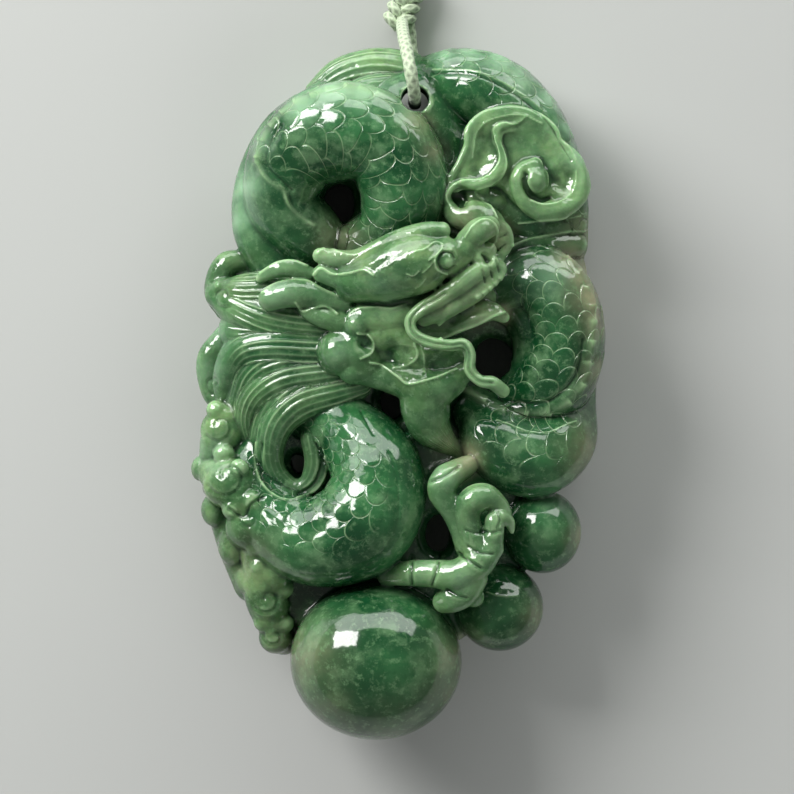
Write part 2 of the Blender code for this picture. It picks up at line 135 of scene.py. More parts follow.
HEAD = {
    "brow": [(-44, 110, 146, 22), (-15, 118, 156, 29), (20, 127, 166, 30), (44, 134, 168, 19)],
    "brow top": [(-24, 126, 150, 15), (0, 138, 158, 15), (26, 147, 162, 13)],
    "upper horn": [
        (-79, 135, 148, 8), (-62, 132, 150, 9), (-45, 131, 152, 10), (-25, 137, 156, 12),
        (0, 148, 162, 13), (25, 156, 166, 12), (41, 159, 166, 9),
    ],
    "lower horn": [(-78, 117, 148, 9), (-60, 111, 150, 10), (-40, 108, 152, 14), (-15, 108, 156, 20)],
    "nose bridge": [(48, 128, 160, 17), (62, 140, 164, 14), (72, 150, 164, 11)],
    "nose tip": [(66, 150, 166, 11), (78, 159, 168, 13), (88, 163, 164, 11)],
    "nostril": [(72, 138, 162, 9), (79, 135, 162, 10), (88, 140, 156, 8)],
    "nose crest": [
        (50, 190, 128, 10), (58, 178, 132, 15), (72, 174, 136, 17), (88, 168, 140, 15),
        (100, 150, 138, 12),
    ],
    "nose edge": [
        (92, 169, 144, 7), (104, 161, 144, 6), (107, 148, 142, 6), (100, 136, 144, 6),
        (93, 126, 146, 6),
    ],
    "crest curl": [
        (82, 203, 134, 7), (68, 206, 136, 6), (55, 202, 138, 6), (48, 192, 136, 6), (52, 184, 134, 5),
    ],
    "lip": [
        (90, 128, 160, 8), (74, 117, 166, 9), (56, 104, 168, 9), (37, 91, 168, 8), (20, 81, 168, 7),
        (10, 70, 168, 6), (14, 57, 168, 6), (30, 49, 168, 6), (50, 46, 166, 6), (63, 47, 164, 6),
        (69, 37, 162, 6), (69, 22, 158, 6), (79, 11, 156, 6), (91, 9, 152, 7), (102, 1, 146, 7),
    ],
    "gum": [
        (97, 122, 150, 9), (78, 103, 156, 11), (60, 91, 158, 11), (42, 81, 158, 10), (24, 72, 156, 8),
    ],
    "fang": [(64, 91, 160, 6), (53, 85, 162, 9), (44, 77, 160, 7), (39, 67, 158, 2.5)],
    "tongue": [
        (34, 58, 138, 6), (54, 66, 142, 9), (72, 75, 144, 11), (90, 80, 144, 10), (103, 74, 140, 6),
    ],
    "face floor": [(-34, 92, 136, 13), (0, 93, 142, 14), (34, 98, 144, 14), (58, 108, 146, 12)],
    "cheek floor": [(-26, 34, 128, 16), (-12, 40, 130, 15), (0, 30, 130, 14)],
    "mouth floor": [(20, 62, 136, 12), (42, 66, 136, 14), (66, 82, 134, 14), (84, 94, 130, 12)],
    "cheek": [(-50, 62, 134, 17), (-44, 42, 136, 22), (-34, 26, 136, 18)],
    "cheek bone": [(-52, 70, 138, 9), (-38, 73, 144, 13), (-16, 72, 144, 15), (8, 76, 146, 14)],
    "cheek plate": [
        (-24, 58, 136, 18), (0, 54, 138, 20), (16, 36, 138, 20), (40, 34, 134, 18), (56, 40, 132, 14),
    ],
    "jaw": [
        (-40, 22, 136, 15), (-20, 17, 136, 15), (4, 12, 138, 19), (28, 4, 140, 23), (48, 10, 138, 18),
        (60, 18, 136, 12),
    ],
    "beard": [
        (24, 6, 138, 24), (25, -14, 134, 25), (30, -33, 128, 22), (43, -48, 120, 14), (57, -59, 113, 7),
        (67, -69, 108, 3),
    ],
    "ear": [(-102, 86, 134, 3), (-90, 79, 140, 8), (-76, 74, 142, 11), (-60, 70, 142, 11)],
}

MANE = {
    "lower branch": [
        (-129, 92, 138, 12), (-113, 97, 142, 14), (-95, 97, 142, 14), (-76, 92, 142, 11),
        (-56, 87, 140, 9),
    ],
    "upper branch": [(-139, 113, 128, 5), (-122, 121, 134, 8), (-106, 122, 134, 9), (-88, 117, 132, 7)],
    "upper tuft": [
        (-178, 104, 96, 10), (-160, 100, 102, 18), (-134, 100, 108, 20), (-112, 96, 108, 18),
    ],
    "lock one": [
        (-40, 66, 110, 16), (-80, 66, 112, 24), (-124, 72, 108, 26), (-158, 84, 100, 22),
        (-182, 98, 88, 14),
    ],
    "lock two": [
        (-38, 46, 112, 16), (-80, 42, 114, 24), (-126, 44, 112, 24), (-158, 38, 102, 20),
        (-172, 16, 94, 16), (-177, -8, 86, 9),
    ],
    "lock three": [
        (-38, 26, 112, 16), (-74, 20, 114, 22), (-114, 14, 112, 23), (-142, -2, 106, 19),
        (-154, -24, 98, 14), (-152, -46, 90, 9),
    ],
    "lock four": [
        (-42, 6, 112, 14), (-66, 0, 116, 18), (-100, -10, 116, 20), (-122, -30, 112, 18),
        (-130, -56, 106, 15), (-127, -78, 102, 13), (-113, -95, 100, 12), (-97, -99, 99, 11),
    ],
    "fill one": [(-40, 56, 106, 18), (-80, 54, 108, 25), (-124, 58, 104, 26), (-160, 62, 94, 22)],
    "fill two": [
        (-40, 34, 106, 18), (-80, 31, 108, 24), (-118, 29, 108, 26), (-146, 16, 100, 22),
        (-160, -10, 90, 16),
    ],
    "fill three": [
        (-46, 14, 108, 16), (-82, 8, 110, 23), (-110, -6, 108, 24), (-130, -28, 102, 19),
        (-140, -50, 94, 13),
    ],
    "swirl": [(-86, -46, 106, 14), (-82, -68, 104, 14), (-88, -89, 102, 12), (-100, -98, 100, 10)],
}

CLOUDS = {
    "scroll rim": [
        (44, 184, 130, 4), (50, 210, 134, 4), (60, 229, 134, 4), (67, 246, 134, 4), (67, 258, 134, 4),
        (74, 269, 132, 4), (86, 277, 131, 4), (104, 281, 131, 4), (122, 280, 131, 4),
        (141, 272, 131, 4), (153, 261, 131, 4), (158, 249, 131, 4), (168, 241, 130, 4),
        (178, 231, 128, 4), (183, 218, 128, 4),
    ],
    "scroll roll": [
        (182, 218, 126, 6), (183, 203, 126, 7), (174, 190, 128, 9), (157, 181, 131, 11),
        (140, 180, 133, 11), (126, 187, 135, 9), (118, 199, 137, 8), (117, 212, 138, 8),
        (124, 223, 138, 8), (135, 226, 139, 8),
    ],
    "curl floor": [(60, 196, 118, 14), (76, 192, 120, 16), (94, 190, 118, 14)],
    "scroll ribbon": [
        (124, 275, 132, 4), (112, 265, 134, 4), (99, 262, 136, 5), (96, 250, 137, 5),
        (101, 236, 138, 5), (101, 224, 139, 6), (91, 212, 140, 6), (76, 206, 142, 6), (62, 207, 142, 5),
    ],
    "left curl top": [(-152, 132, 84, 9), (-174, 128, 84, 13), (-184, 102, 80, 13), (-176, 82, 76, 10)],
    "left curl high": [(-176, 56, 72, 12), (-192, 32, 70, 13), (-189, 0, 68, 11), (-174, -16, 72, 11)],
    "left curl middle": [(-176, -28, 92, 18), (-184, -50, 88, 17), (-190, -68, 80, 12)],
    "left curl low": [
        (-198, -76, 80, 11), (-176, -88, 98, 22), (-158, -106, 106, 22), (-144, -134, 100, 21),
    ],
    "side cloud upper": [(-178, -112, 74, 18), (-164, -152, 72, 20), (-148, -192, 74, 20)],
    "side cloud lower": [(-134, -216, 66, 16), (-118, -246, 66, 19)],
    "foot cloud": [
        (-140, -150, 94, 22), (-134, -180, 94, 23), (-136, -206, 90, 20), (-126, -234, 84, 17),
    ],
}

CLAW = {
    "shin": [
        (-14, -184, 122, 9), (10, -180, 134, 13), (33, -180, 142, 14), (56, -181, 148, 16),
        (76, -170, 152, 16), (90, -154, 152, 13),
    ],
    "thumb": [
        (68, -152, 142, 14), (62, -136, 142, 13), (53, -119, 144, 12), (41, -99, 148, 14),
        (45, -87, 148, 15), (54, -80, 142, 13), (66, -74, 130, 11),
    ],
    "toe": [
        (76, -156, 150, 14), (70, -137, 151, 12), (67, -120, 153, 13), (72, -108, 155, 15),
        (84, -104, 153, 14), (96, -110, 149, 10), (103, -119, 145, 8),
    ],
    "hook": [
        (90, -154, 152, 12), (93, -136, 156, 10), (93, -126, 156, 9), (101, -124, 153, 8),
        (108, -129, 148, 6), (111, -138, 142, 3),
    ],
    "heel toe": [(72, -184, 146, 15), (64, -198, 142, 15), (52, -205, 139, 14), (44, -208, 134, 12)],
    "heel tip": [(66, -198, 138, 13), (73, -203, 134, 11)],
}

PEARLS = {
    "great pearl": ((-24, -269, 98), (86, 79, 86)),
    "upper pearl": ((143, -140, 86), (39, 42, 44)),
    "lower pearl": ((100, -216, 84), (44, 44, 46)),
    "cord pad": ((12, 287, 84), (42, 34, 30)),
    "eye": ((46, 128, 183), (6.5, 6.5, 6.5)),
    "cheek ball high": ((-43, 66, 148), (12, 12, 12)),
    "cheek ball": ((-60, 39, 136), (22, 23, 22)),
    "scroll ball": ((135, 211, 138), (15, 15, 14)),
    "cheek ball low": ((-46, 22, 138), (16, 15, 15)),
    "cloud ball high": ((-178, -38, 92), (22, 22, 20)),
    "cloud ball": ((-168, -92, 104), (29, 26, 26)),
    "cloud ball low": ((-150, -133, 104), (25, 25, 25)),
    "cloud ball foot": ((-126, -180, 98), (22, 22, 22)),
    "cloud ball last": ((-131, -213, 92), (20, 19, 20)),
    "cloud ball end": ((-125, -246, 80), (17, 17, 20)),
    "cloud ball edge": ((-187, -118, 82), (13, 17, 18)),
    "cloud ball side": ((-168, -154, 84), (15, 20, 20)),
    "cloud ball side low": ((-151, -187, 82), (15, 18, 20)),
    "cloud ball knob": ((-200, -77, 80), (10, 13, 14)),
}

# Small knobs of the left clouds: (x, y, z, radius).
KNOBS = [
    (-166, -116, 116, 12), (-147, -108, 121, 12), (-137, -131, 118, 13), (-158, -138, 112, 12),
    (-143, -153, 110, 12), (-126, -150, 110, 11), (-140, -174, 108, 11), (-146, -192, 96, 12),
    (-117, -196, 100, 11), (-120, -168, 108, 11), (-176, -62, 104, 11), (-188, -96, 96, 10),
    (-160, -76, 122, 10), (-184, -18, 100, 10), (-137, -230, 92, 10), (-116, -232, 92, 10),
    (-190, -46, 96, 9),
]
PEARLS |= {f"cloud knob {index}": ((x, y, z), (r, r, r)) for index, (x, y, z, r) in enumerate(KNOBS)}

# Flat leaves: lowest and highest level, width of the rounded edge, and outline.
PLATES = {
    "scroll": (60, 136, 8, [
        (40, 182), (52, 214), (64, 238), (62, 262), (80, 282), (121, 287), (152, 268), (161, 247),
        (186, 230), (190, 204), (177, 182), (150, 168), (122, 178), (106, 196), (96, 208), (78, 200),
        (62, 196),
    ]),
}

# Lines that stand up (a height above 0) or are cut in: height, width, length of a bead or 0, and path.
LINES = {
    "brow fold": (0.6, 2.4, 0, [(-30, 125), (-12, 138), (6, 148), (20, 152), (30, 149)]),
    "brow groove": (-0.8, 2.6, 0, [(-26, 120), (-8, 132), (8, 142), (22, 146), (32, 143)]),
    "lid": (1.5, 1.1, 0, [(15, 138), (24, 140), (34, 147), (42, 144), (36, 135), (28, 129)]),
    "lid low": (1.2, 1.0, 0, [(6, 116), (13, 114), (19, 119)]),
    "lid middle": (1.2, 1.0, 0, [(22, 117), (27, 121), (33, 128)]),
    "lid outer": (1.2, 1.0, 0, [(15, 102), (20, 105), (25, 111)]),
    "eye rim": (1.7, 1.1, 0, [(50, 139), (40, 138), (34, 130), (36, 120), (46, 116)]),
    "eye groove": (-2.4, 1.5, 0, [
        (54, 132), (50, 137), (42, 137), (38, 129),
        (41, 121), (48, 119), (54, 123),
    ]),
    "horn edge": (1.2, 1.6, 0, [
        (-82, 138), (-71, 143), (-60, 138), (-45, 135),
        (-34, 140), (-20, 148),
    ]),
    "lower horn edge": (2.0, 1.4, 0, [
        (-85, 116), (-78, 122), (-66, 116), (-50, 117),
        (-36, 120), (-26, 115),
    ]),
    "lip groove": (-2.2, 1.7, 0, [
        (44, 97), (34, 91), (21, 83), (11, 71), (14, 57), (30, 49), (50, 46), (62, 47),
        (68, 37), (68, 22), (78, 11), (91, 9),
    ]),
    "teeth": (3.4, 2.6, 7, [(102, 116), (94, 108), (85, 100), (76, 94)]),
    "tooth one": (-1.4, 1.2, 0, [(95, 130), (98, 118)]),
    "tooth two": (-1.4, 1.2, 0, [(88, 126), (91, 113)]),
    "tooth three": (-1.4, 1.2, 0, [(81, 120), (84, 108)]),
    "tooth four": (-1.4, 1.2, 0, [(104, 146), (96, 140)]),
    "tooth five": (-1.4, 1.2, 0, [(106, 156), (97, 152)]),
    "nostril pit": (-7, 4, 0, [(84, 135), (87, 131)]),
    "crest pit": (-7, 7, 0, [(58, 194), (60, 190)]),
    "crest band": (0.8, 1.2, 0, [(33, 322), (76, 319), (114, 301), (144, 278), (162, 254), (175, 232)]),
    "crest band groove": (-1.6, 1.5, 0, [
        (33, 318), (75, 315), (112, 297), (141, 274),
        (158, 251), (170, 230),
    ]),
    "nose edge line": (1.4, 1.0, 0, [(64, 152), (72, 164), (84, 170), (94, 164), (96, 152), (90, 142)]),
    "tongue edge": (2.2, 1.4, 0, [(40, 53), (60, 61), (78, 68), (92, 75), (103, 79)]),
    "tongue hollow": (-3, 5, 0, [(52, 69), (72, 79), (90, 84)]),
    "button pit": (-6, 5, 0, [(-36, 48), (-33, 46)]),
    "button rim": (2.2, 1.2, 0, [(-42, 58), (-31, 56), (-26, 47), (-29, 38), (-39, 33)]),
    "cheek edge": (1.7, 1.3, 0, [(-52, 74), (-42, 82), (-22, 83), (-8, 82), (6, 87)]),
    "cheek hollow": (-5, 9, 0, [(-6, 41), (0, 40), (6, 39)]),
    "cheek line": (0.7, 1.4, 0, [(-10, 46), (0, 47), (13, 45)]),
    "cheek fold": (1.2, 1.5, 0, [(14, 48), (17, 36), (8, 27), (-6, 24)]),
    "cheek fold right": (0.9, 1.4, 0, [(21, 44), (24, 32), (24, 20)]),
    "jaw edge": (2.0, 1.3, 0, [(-30, 29), (-18, 26), (-2, 15), (8, 8), (24, 11), (40, 16), (56, 23)]),
    "jaw hollow": (-4, 7, 0, [(34, 28), (46, 32), (58, 36)]),
    "ear edge": (1.9, 1.2, 0, [(-103, 88), (-96, 80), (-87, 82), (-74, 85), (-62, 77)]),
    "branch edge": (1.7, 1.4, 0, [
        (-136, 98), (-124, 108), (-110, 112),
        (-92, 110), (-78, 102), (-62, 95),
    ]),
    "upper branch edge": (1.5, 1.2, 0, [(-139, 118), (-122, 128), (-106, 130), (-92, 125)]),
    "scroll inner line": (1.3, 1.1, 0, [
        (72, 232), (75, 254), (83, 266), (99, 273),
        (121, 275), (141, 267),
    ]),
    "ribbon left": (1.5, 1.0, 0, [
        (126, 274), (115, 266), (103, 267), (93, 262), (92, 252), (97, 240), (98, 229), (91, 218),
        (80, 212), (66, 210), (53, 205), (46, 194), (50, 184),
    ]),
    "ribbon right": (1.5, 1.0, 0, [
        (115, 260), (103, 257), (101, 248), (105, 236), (105, 222), (96, 208), (84, 203), (75, 199),
        (82, 190), (91, 182), (96, 172),
    ]),
    "roll line": (1.4, 1.0, 0, [
        (130, 190), (141, 186), (154, 187), (168, 195),
        (174, 206), (175, 219),
    ]),
    "roll pit": (-4, 2.2, 0, [(148, 193), (138, 191), (129, 196), (123, 206), (124, 216)]),
    "cup": (-7, 10, 0, [(158, 210), (163, 206), (166, 214)]),
    "leaf hollow": (-5, 18, 0, [(120, 246), (138, 250), (150, 236)]),
    "stem hollow": (-5, 10, 0, [(76, 222), (84, 240), (84, 252)]),
    "crown ridge": (2.6, 4.5, 17, [
        (-8, 290), (-50, 303), (-94, 292), (-112, 282), (-124, 270), (-134, 255), (-140, 242),
        (-142, 228),
    ]),
    "crown frill": (1.3, 2.6, 0, [
        (-142, 232), (-138, 219), (-128, 208), (-116, 200), (-111, 187), (-100, 175), (-86, 166),
    ]),
    "crown frill groove": (-1.4, 2.4, 0, [
        (-136, 226), (-131, 214), (-122, 204), (-110, 195), (-105, 182), (-94, 171),
    ]),
    "crown groove": (-2.0, 2.2, 0, [
        (-118, 264), (-127, 250), (-132, 238), (-133, 228), (-128, 219), (-118, 210), (-107, 200),
    ]),
    "right ridge": (3.6, 5.0, 22, [
        (67, 1), (80, -7), (92, -13), (107, -18), (123, -21), (141, -21), (157, -17), (172, -5),
        (182, 9), (187, 28), (190, 49), (191, 69),
    ]),
    "right rim": (2.6, 6.0, 18, [(191, 69), (188, 95), (180, 114), (168, 131), (156, 140), (141, 142)]),
    "right ridge groove": (-2.2, 2.0, 0, [
        (84, 0), (104, -8), (124, -11), (140, -11), (152, -7), (165, 4), (174, 17), (179, 32),
        (181, 52),
    ]),
    "flank line": (1.3, 1.0, 0, [
        (96, -28), (108, -32), (126, -39), (147, -40),
        (163, -33), (175, -29),
    ]),
    "swirl groove": (-2.4, 1.8, 0, [
        (-138, -52), (-140, -68), (-136, -84), (-126, -96), (-112, -102), (-98, -100), (-86, -92),
        (-79, -78), (-78, -64), (-84, -52),
    ]),
    "swirl rim": (1.5, 1.3, 0, [
        (-143, -50), (-145, -68), (-140, -87), (-129, -100), (-113, -107), (-97, -104), (-83, -96),
        (-74, -80), (-74, -64),
    ]),
    "coil edge": (-0.9, 1.1, 0, [
        (-12, -60), (-3, -84), (-1, -112), (-5, -136), (-22, -163), (-47, -179), (-74, -182),
        (-98, -180),
    ]),
    "coil nick": (-1.6, 1.3, 0, [(-39, -19), (-33, -30), (-26, -42)]),
    "cloud seam": (-2.2, 1.8, 0, [(-170, -116), (-156, -124), (-148, -112), (-136, -104)]),
    "shin joint one": (-2.4, 1.6, 0, [(12, -166), (11, -180), (12, -195)]),
    "shin joint two": (-2.4, 1.6, 0, [(40, -162), (36, -176), (31, -192)]),
    "shin joint three": (-2.4, 1.6, 0, [(58, -160), (68, -166), (80, -174)]),
    "shin joint four": (-2.0, 1.4, 0, [(66, -152), (78, -158), (92, -160)]),
    "toe joint": (-2.0, 1.4, 0, [(64, -136), (74, -139), (84, -138)]),
    "toe tip one": (-1.8, 1.3, 0, [(80, -136), (90, -139), (100, -136)]),
    "toe tip two": (-1.6, 1.3, 0, [(97, -119), (99, -126), (96, -134)]),
    "thumb joint": (-2.0, 1.6, 0, [(30, -88), (42, -84), (58, -74)]),
    "toe arch": (-1.6, 1.3, 0, [(60, -101), (72, -93), (86, -92)]),
    "heel joint": (-2.0, 1.5, 0, [(46, -196), (56, -201), (66, -204)]),
    "pearl line": (1.0, 1.0, 0, [(86, -199), (100, -203), (118, -203)]),
    "band line": (1.9, 1.3, 0, [(111, 145), (128, 152), (148, 156), (167, 160), (185, 161)]),
    "band line upper": (1.4, 1.2, 0, [(118, 168), (141, 170), (160, 172), (180, 176)]),
}

# Spirals cut into the clouds: (x, y, radius, first angle in degrees, turns), turning inwards.
WHORLS = [
    (-180, -34, 17, 215, 0.85), (-172, -84, 22, 205, 0.95), (-132, -207, 15, 215, 0.85),
    (-186, 8, 10, 250, -0.7), (-176, 96, 13, 300, -0.8), (-125, -244, 12, 170, 0.7),
    (-150, -126, 9, 190, 0.8),
]
WHORL_DEPTH = 1.4
WHORL_WIDTH = 1.9

# The drilled hole, and the cord's route in millimetres, as in the part's own source.
DRILL_PLACE = (15, 292)
BAIL_ROUTE = [
    (-0.19, 41.3, 2.8), (-0.18, 40.6, 4.8), (-0.10, 39.6, 7.6), (0.06, 38.5, 10.2),
    (0.34, 37.0, 12.5), (0.68, 35.1, 13.9), (0.98, 33.4, 13.5), (1.16, 32.3, 12.1),
    (1.20, 32.0, 10.2), (1.20, 32.0, 7.6), (1.20, 32.0, 4.6), (1.16, 32.4, 2.6),
    (1.06, 33.7, 1.15), (0.96, 35.7, 0.85), (0.85, 38.7, 0.85), (0.50, 41.3, 1.0),
]
KNOT_PLACE = (0.31, 43.86, 1.95)
KNOT_TURN = -20
KNOT_ROWS = 4
KNOT_PITCH = 1.25
KNOT_LOOP = (0.8, 1.05)

# The knot's middle row, how far its loops stand aside and apart, their slope, and their cord's radius.
KNOT_MIDDLE = 2.1
KNOT_ASIDE = (0.6, 0.3)
KNOT_SLOPE = (0.85, 0.5)
KNOT_CORD = 0.4

# The cord's way inside the knot, from its centre: its start, between its leads, and its end.
KNOT_START = (0, -0.6, -0.6)
KNOT_THROUGH = [(-0.2, -1, 0.6), (0.6, 1, 0)]
KNOT_END = (0, 1, 0)
LEAD_RIGHT = [
    (1.46, 46.46, 1.5), (1.68, 47.4, 1.25), (2.35, 48.65, 0.95), (3.45, 49.9, 0.8), (5.7, 51.95, 0.75),
]
LEAD_LEFT = [
    (0.16, 46.56, 1.5), (-0.16, 47.4, 1.3), (-0.83, 48.65, 1.1), (-1.93, 49.9, 1.0),
    (-4.18, 51.95, 1.15),
]
COIL_PLACE = (0.76, 64.85)

# The start of the coil's first turn and the length of its last, in degrees, and its points a turn.
COIL_START = -42
COIL_LAST = 264
COIL_STEPS = 36


def measure(name, told, value):
    """A setting in metres."""
    return FloatProperty(name=name, description=told, default=value, precision=5, subtype="DISTANCE")


def number(name, told, value):
    """A setting that counts something."""
    return IntProperty(name=name, description=told, default=value)


def tint(name, told, value):
    """A setting for a colour."""
    return FloatVectorProperty(name=name, description=told, default=value, subtype="COLOR")


class JadeSettings(bpy.types.PropertyGroup):
    """Sizes and colours of the carving."""

    height: measure("Height", "Height of the carving", 0.076)
    drill: measure("Drill", "Width of the cord's hole", 0.003)
    grain: measure("Grain", "Grain of the united forms", 0.00016)
    faces: number("Faces", "Triangles that the finished carving keeps", 190000)
    scale_width: measure("Scale width", "From one row of scales to the next", 0.00175)
    scale_relief: measure("Scale relief", "Depth of the scales", 0.00010)
    hair_width: measure("Hair width", "Width of one hair of the mane", 0.0006)
    # Deep green is also the colour of the painted shade in low-lying places and under forms.
    deep: tint("Deep green", "Where the jade is thick", (0.006, 0.060, 0.018))
    middle: tint("Middle green", "The jade's usual colour", (0.032, 0.148, 0.050))
    # Pale green is the veins' own colour, and also painted light on thin places and proud forms.
    pale: tint("Pale green", "Veins and thin places", (0.20, 0.36, 0.18))
    warm: tint("Warm green", "The clouds, the scroll and the head", (0.20, 0.34, 0.135))
    # Its colour is painted highlight: on proud edges, raised carved lines, scale outlines and strand
    # crests.
    edge: tint("Edge green", "Carved lines and proud edges", (0.38, 0.56, 0.31))
    beige: tint("Beige", "Brownish rims", (0.42, 0.41, 0.25))
    # The colour of the painted sheen and highlights on the rims and tops that face the lamps.
    milk: tint("Milky", "Colour of the milky places near the rims", (0.34, 0.56, 0.36))
    shade: tint("Shade green", "Hollows", (0.004, 0.032, 0.011))


class CordSettings(bpy.types.PropertyGroup):
    """Sizes and colours of the cord."""

    diameter: measure("Diameter", "Width of the cord", 0.0014)
    slack: measure("Slack", "Room between the coil's turns", 0.00005)
    coil_radius: measure("Coil radius", "From the coil's centre to the middle of its turns", 0.0084)
    turns_wide: number("Turns wide", "Turns beside each other in the coil", 6)
    colour: tint("Colour", "The cord's own colour", (0.56, 0.68, 0.47))


class StageSettings(bpy.types.PropertyGroup):
    """The camera and the floor."""

    distance: measure("Distance", "From the camera to the carving", 0.5)
    floor: tint("Floor", "The floor's colour", (0.50, 0.51, 0.50))


def deselect():
    """Nothing selected, ready for the next operator."""
    for thing in bpy.context.view_layer.objects.selected[:]:
        thing.select_set(False)


def make_active(thing):
    """The thing alone is selected and active."""
    deselect()
    thing.select_set(True)
    bpy.context.view_layer.objects.active = thing


def add_object(name, data):
    """A new object in the scene, selected and active."""
    thing = bpy.data.objects.new(name, data)
    bpy.context.scene.collection.objects.link(thing)
    make_active(thing)
    return thing


def dress(piece, finish):
    """The piece with that finish alone, and smooth."""
    piece.data.materials.clear()
    piece.data.materials.append(finish)
    make_active(piece)
    bpy.ops.object.shade_smooth()


def join(pieces, name):
    """The pieces as one object with that name."""
    make_active(pieces[0])
    for piece in pieces:
        piece.select_set(True)
    bpy.ops.object.join()
    pieces[0].name = name
    return pieces[0]


def add_curve(name, kind, routes, **settings):
    """A curve with a spline for each route, whose rows are x, y, z and perhaps a radius."""
    curve = bpy.data.curves.new(name, "CURVE")
    for key, value in settings.items():
        setattr(curve, key, value)
    for route in routes:
        spline = curve.splines.new(kind)
        spline.points.add(len(route) - 1)
        spline.points.foreach_set("co", np.hstack([route[:, :3], np.ones((len(route), 1))]).ravel())
        if route.shape[1] > 3:
            spline.points.foreach_set("radius", route[:, 3])
    return curve


def apply_modifier(thing, kind, **settings):
    """A modifier added and applied at once."""
    make_active(thing)
    modifier = thing.modifiers.new(kind.title(), kind)
    for key, value in settings.items():
        setattr(modifier, key, value)
    bpy.ops.object.modifier_apply(modifier=modifier.name)


def smooth_route(stations, steps):
    """Points on a smooth curve through the stations, with any further values carried along."""
    marks = np.array(stations, float)
    marks = np.vstack([2 * marks[0] - marks[1], marks, 2 * marks[-1] - marks[-2]])
    t = (np.arange(steps) / steps)[:, None]
    spans = [
        0.5
        * (
            2 * start
            + (end - before) * t
            + (2 * before - 5 * start + 4 * end - after) * t**2
            + (3 * start - before - 3 * end + after) * t**3
        )
        for before, start, end, after in zip(marks, marks[1:], marks[2:], marks[3:])
    ]
    return np.vstack([*spans, marks[-2:-1]])


def rounded_ends(route, steps=8):
    """The route with a half ball added at each end."""
    angles = np.radians(88) * (np.arange(steps) + 1)[:, None] / steps

    def ball(tip, inside):
        outward = tip[:3] - inside[:3]
        outward = outward / np.linalg.norm(outward)
        return np.hstack([tip[:3] + outward * tip[3] * np.sin(angles), tip[3] * np.cos(angles)])

    return np.vstack([ball(route[0], route[1])[::-1], route, ball(route[-1], route[-2])])


def unit():
    """One unit of the carver's grid, in metres."""
    return bpy.context.scene.jade.height / GRID_HEIGHT


def reach_along(path):
    """How far along the path each of its points lies."""
    return np.concatenate([[0], np.cumsum(np.linalg.norm(np.diff(path, axis=0), axis=1))])


def within(points, low, high):
    """Which points lie in a box, as their indices."""
    return np.flatnonzero(np.all((points > low) & (points < high), axis=1))


def placed(points):
    """Grid points in metres, in the frame."""
    points = np.array(points, float)
    points[..., 0] -= GRID_MIDDLE[0]
    points[..., 1] -= GRID_MIDDLE[1]
    return points * unit()


def front_forms():
    """Every run of stations on the front, by name."""
    return {**COILS, **FLANKS, **HEAD, **MANE, **CLOUDS, **CLAW}


def back_forms():
    """The coils again behind the ground, lower and slimmer."""
    return [
        [(x, y, BACK_LEVEL, radius * BACK_SHARE) for x, y, _, radius in stations]
        for stations in COILS.values()
    ]


def tube_shells(forms):
    """An object of closed tubes, one for each form, from one bevelled curve."""
    routes = [rounded_ends(smooth_route(stations, ROUTE_STEPS)) for stations in forms]
    routes = [np.hstack([placed(route[:, :3]), route[:, 3:]]) for route in routes]
    curve = add_curve(
        "forms", "POLY", routes, dimensions="3D", bevel_depth=unit(), bevel_resolution=14,
        use_fill_caps=True,
    )
    shells = add_object("forms", curve)
    bpy.ops.object.convert(target="MESH")
    return shells


def slab_shell(name, low, high, edge, outlines):
    """A slab with rounded edges; outlines after the first pierce it."""
    flat = [placed([(x, y, 0) for x, y in outline]) for outline in outlines]
    curve = add_curve(
        name, "NURBS", flat, dimensions="2D", fill_mode="BOTH", bevel_depth=edge * unit(),
        offset=-edge * unit(), bevel_resolution=6, extrude=((high - low) / 2 - edge) * unit(),
    )
    for spline in curve.splines:
        spline.use_cyclic_u = True
        spline.resolution_u = 8
    slab = add_object(name, curve)
    slab.location.z = (low + high) / 2 * unit()
    bpy.ops.object.convert(target="MESH")
    bpy.ops.object.transform_apply(location=True, rotation=False, scale=False)
    return slab


def slab_shells():
    """The pierced ground behind the forms, and the flat leaves on it."""
    outlines = [GROUND_OUTLINE, *PIERCINGS.values()]
    ground = slab_shell("ground", GROUND_LOW, GROUND_HIGH, GROUND_EDGE, outlines)
    leaves = [slab_shell(name, *sizes, [outline]) for name, (*sizes, outline) in PLATES.items()]
    return [ground, *leaves]


def pearl_shells():
    """The balls and rounded plates."""
    shells = []
    for centre, half_widths in PEARLS.values():
        deselect()
        bpy.ops.mesh.primitive_uv_sphere_add(
            segments=64, ring_count=32, radius=unit(), location=placed(centre), scale=half_widths
        )
        bpy.ops.object.transform_apply(location=True, rotation=False, scale=True)
        shells.append(bpy.context.object)
    return shells


def every(items, key, width=3, kind=float):
    """One property of all the items as an array, with a row for each."""
    values = np.empty(len(items) * width, kind)
    items.foreach_get(key, values)
    return values.reshape(-1, width)


def shape_of(mesh):
    """The mesh's points, their normals and its edges, as arrays."""
    normals = every(mesh.vertex_normals, "vector")
    return every(mesh.vertices, "co"), normals, every(mesh.edges, "vertices", 2, np.int64)


def move_points(mesh, points):
    """The mesh's points put at new places."""
    mesh.vertices.foreach_set("co", points.ravel())
    mesh.update()


def note(mesh, name, values):
    """A value kept at each point of the mesh, for the material."""
    attribute = mesh.attributes.new(name, "FLOAT", "POINT")
    attribute.data.foreach_set("value", values.astype(np.float32))


def neighbour_mean(values, edges, rounds):
    """The values averaged with their neighbours' along the edges, a number of times."""
    count = len(values)
    ends = np.concatenate([edges[:, 0], edges[:, 1]])
    others = np.concatenate([edges[:, 1], edges[:, 0]])
    degree = np.bincount(ends, minlength=count)
    columns = values.reshape(count, -1)
    for _ in range(rounds):
        sums = [np.bincount(ends, weights=column[others], minlength=count) for column in columns.T]
        columns = 0.5 * columns + 0.5 * (np.array(sums) / degree).T
    return columns.reshape(values.shape)


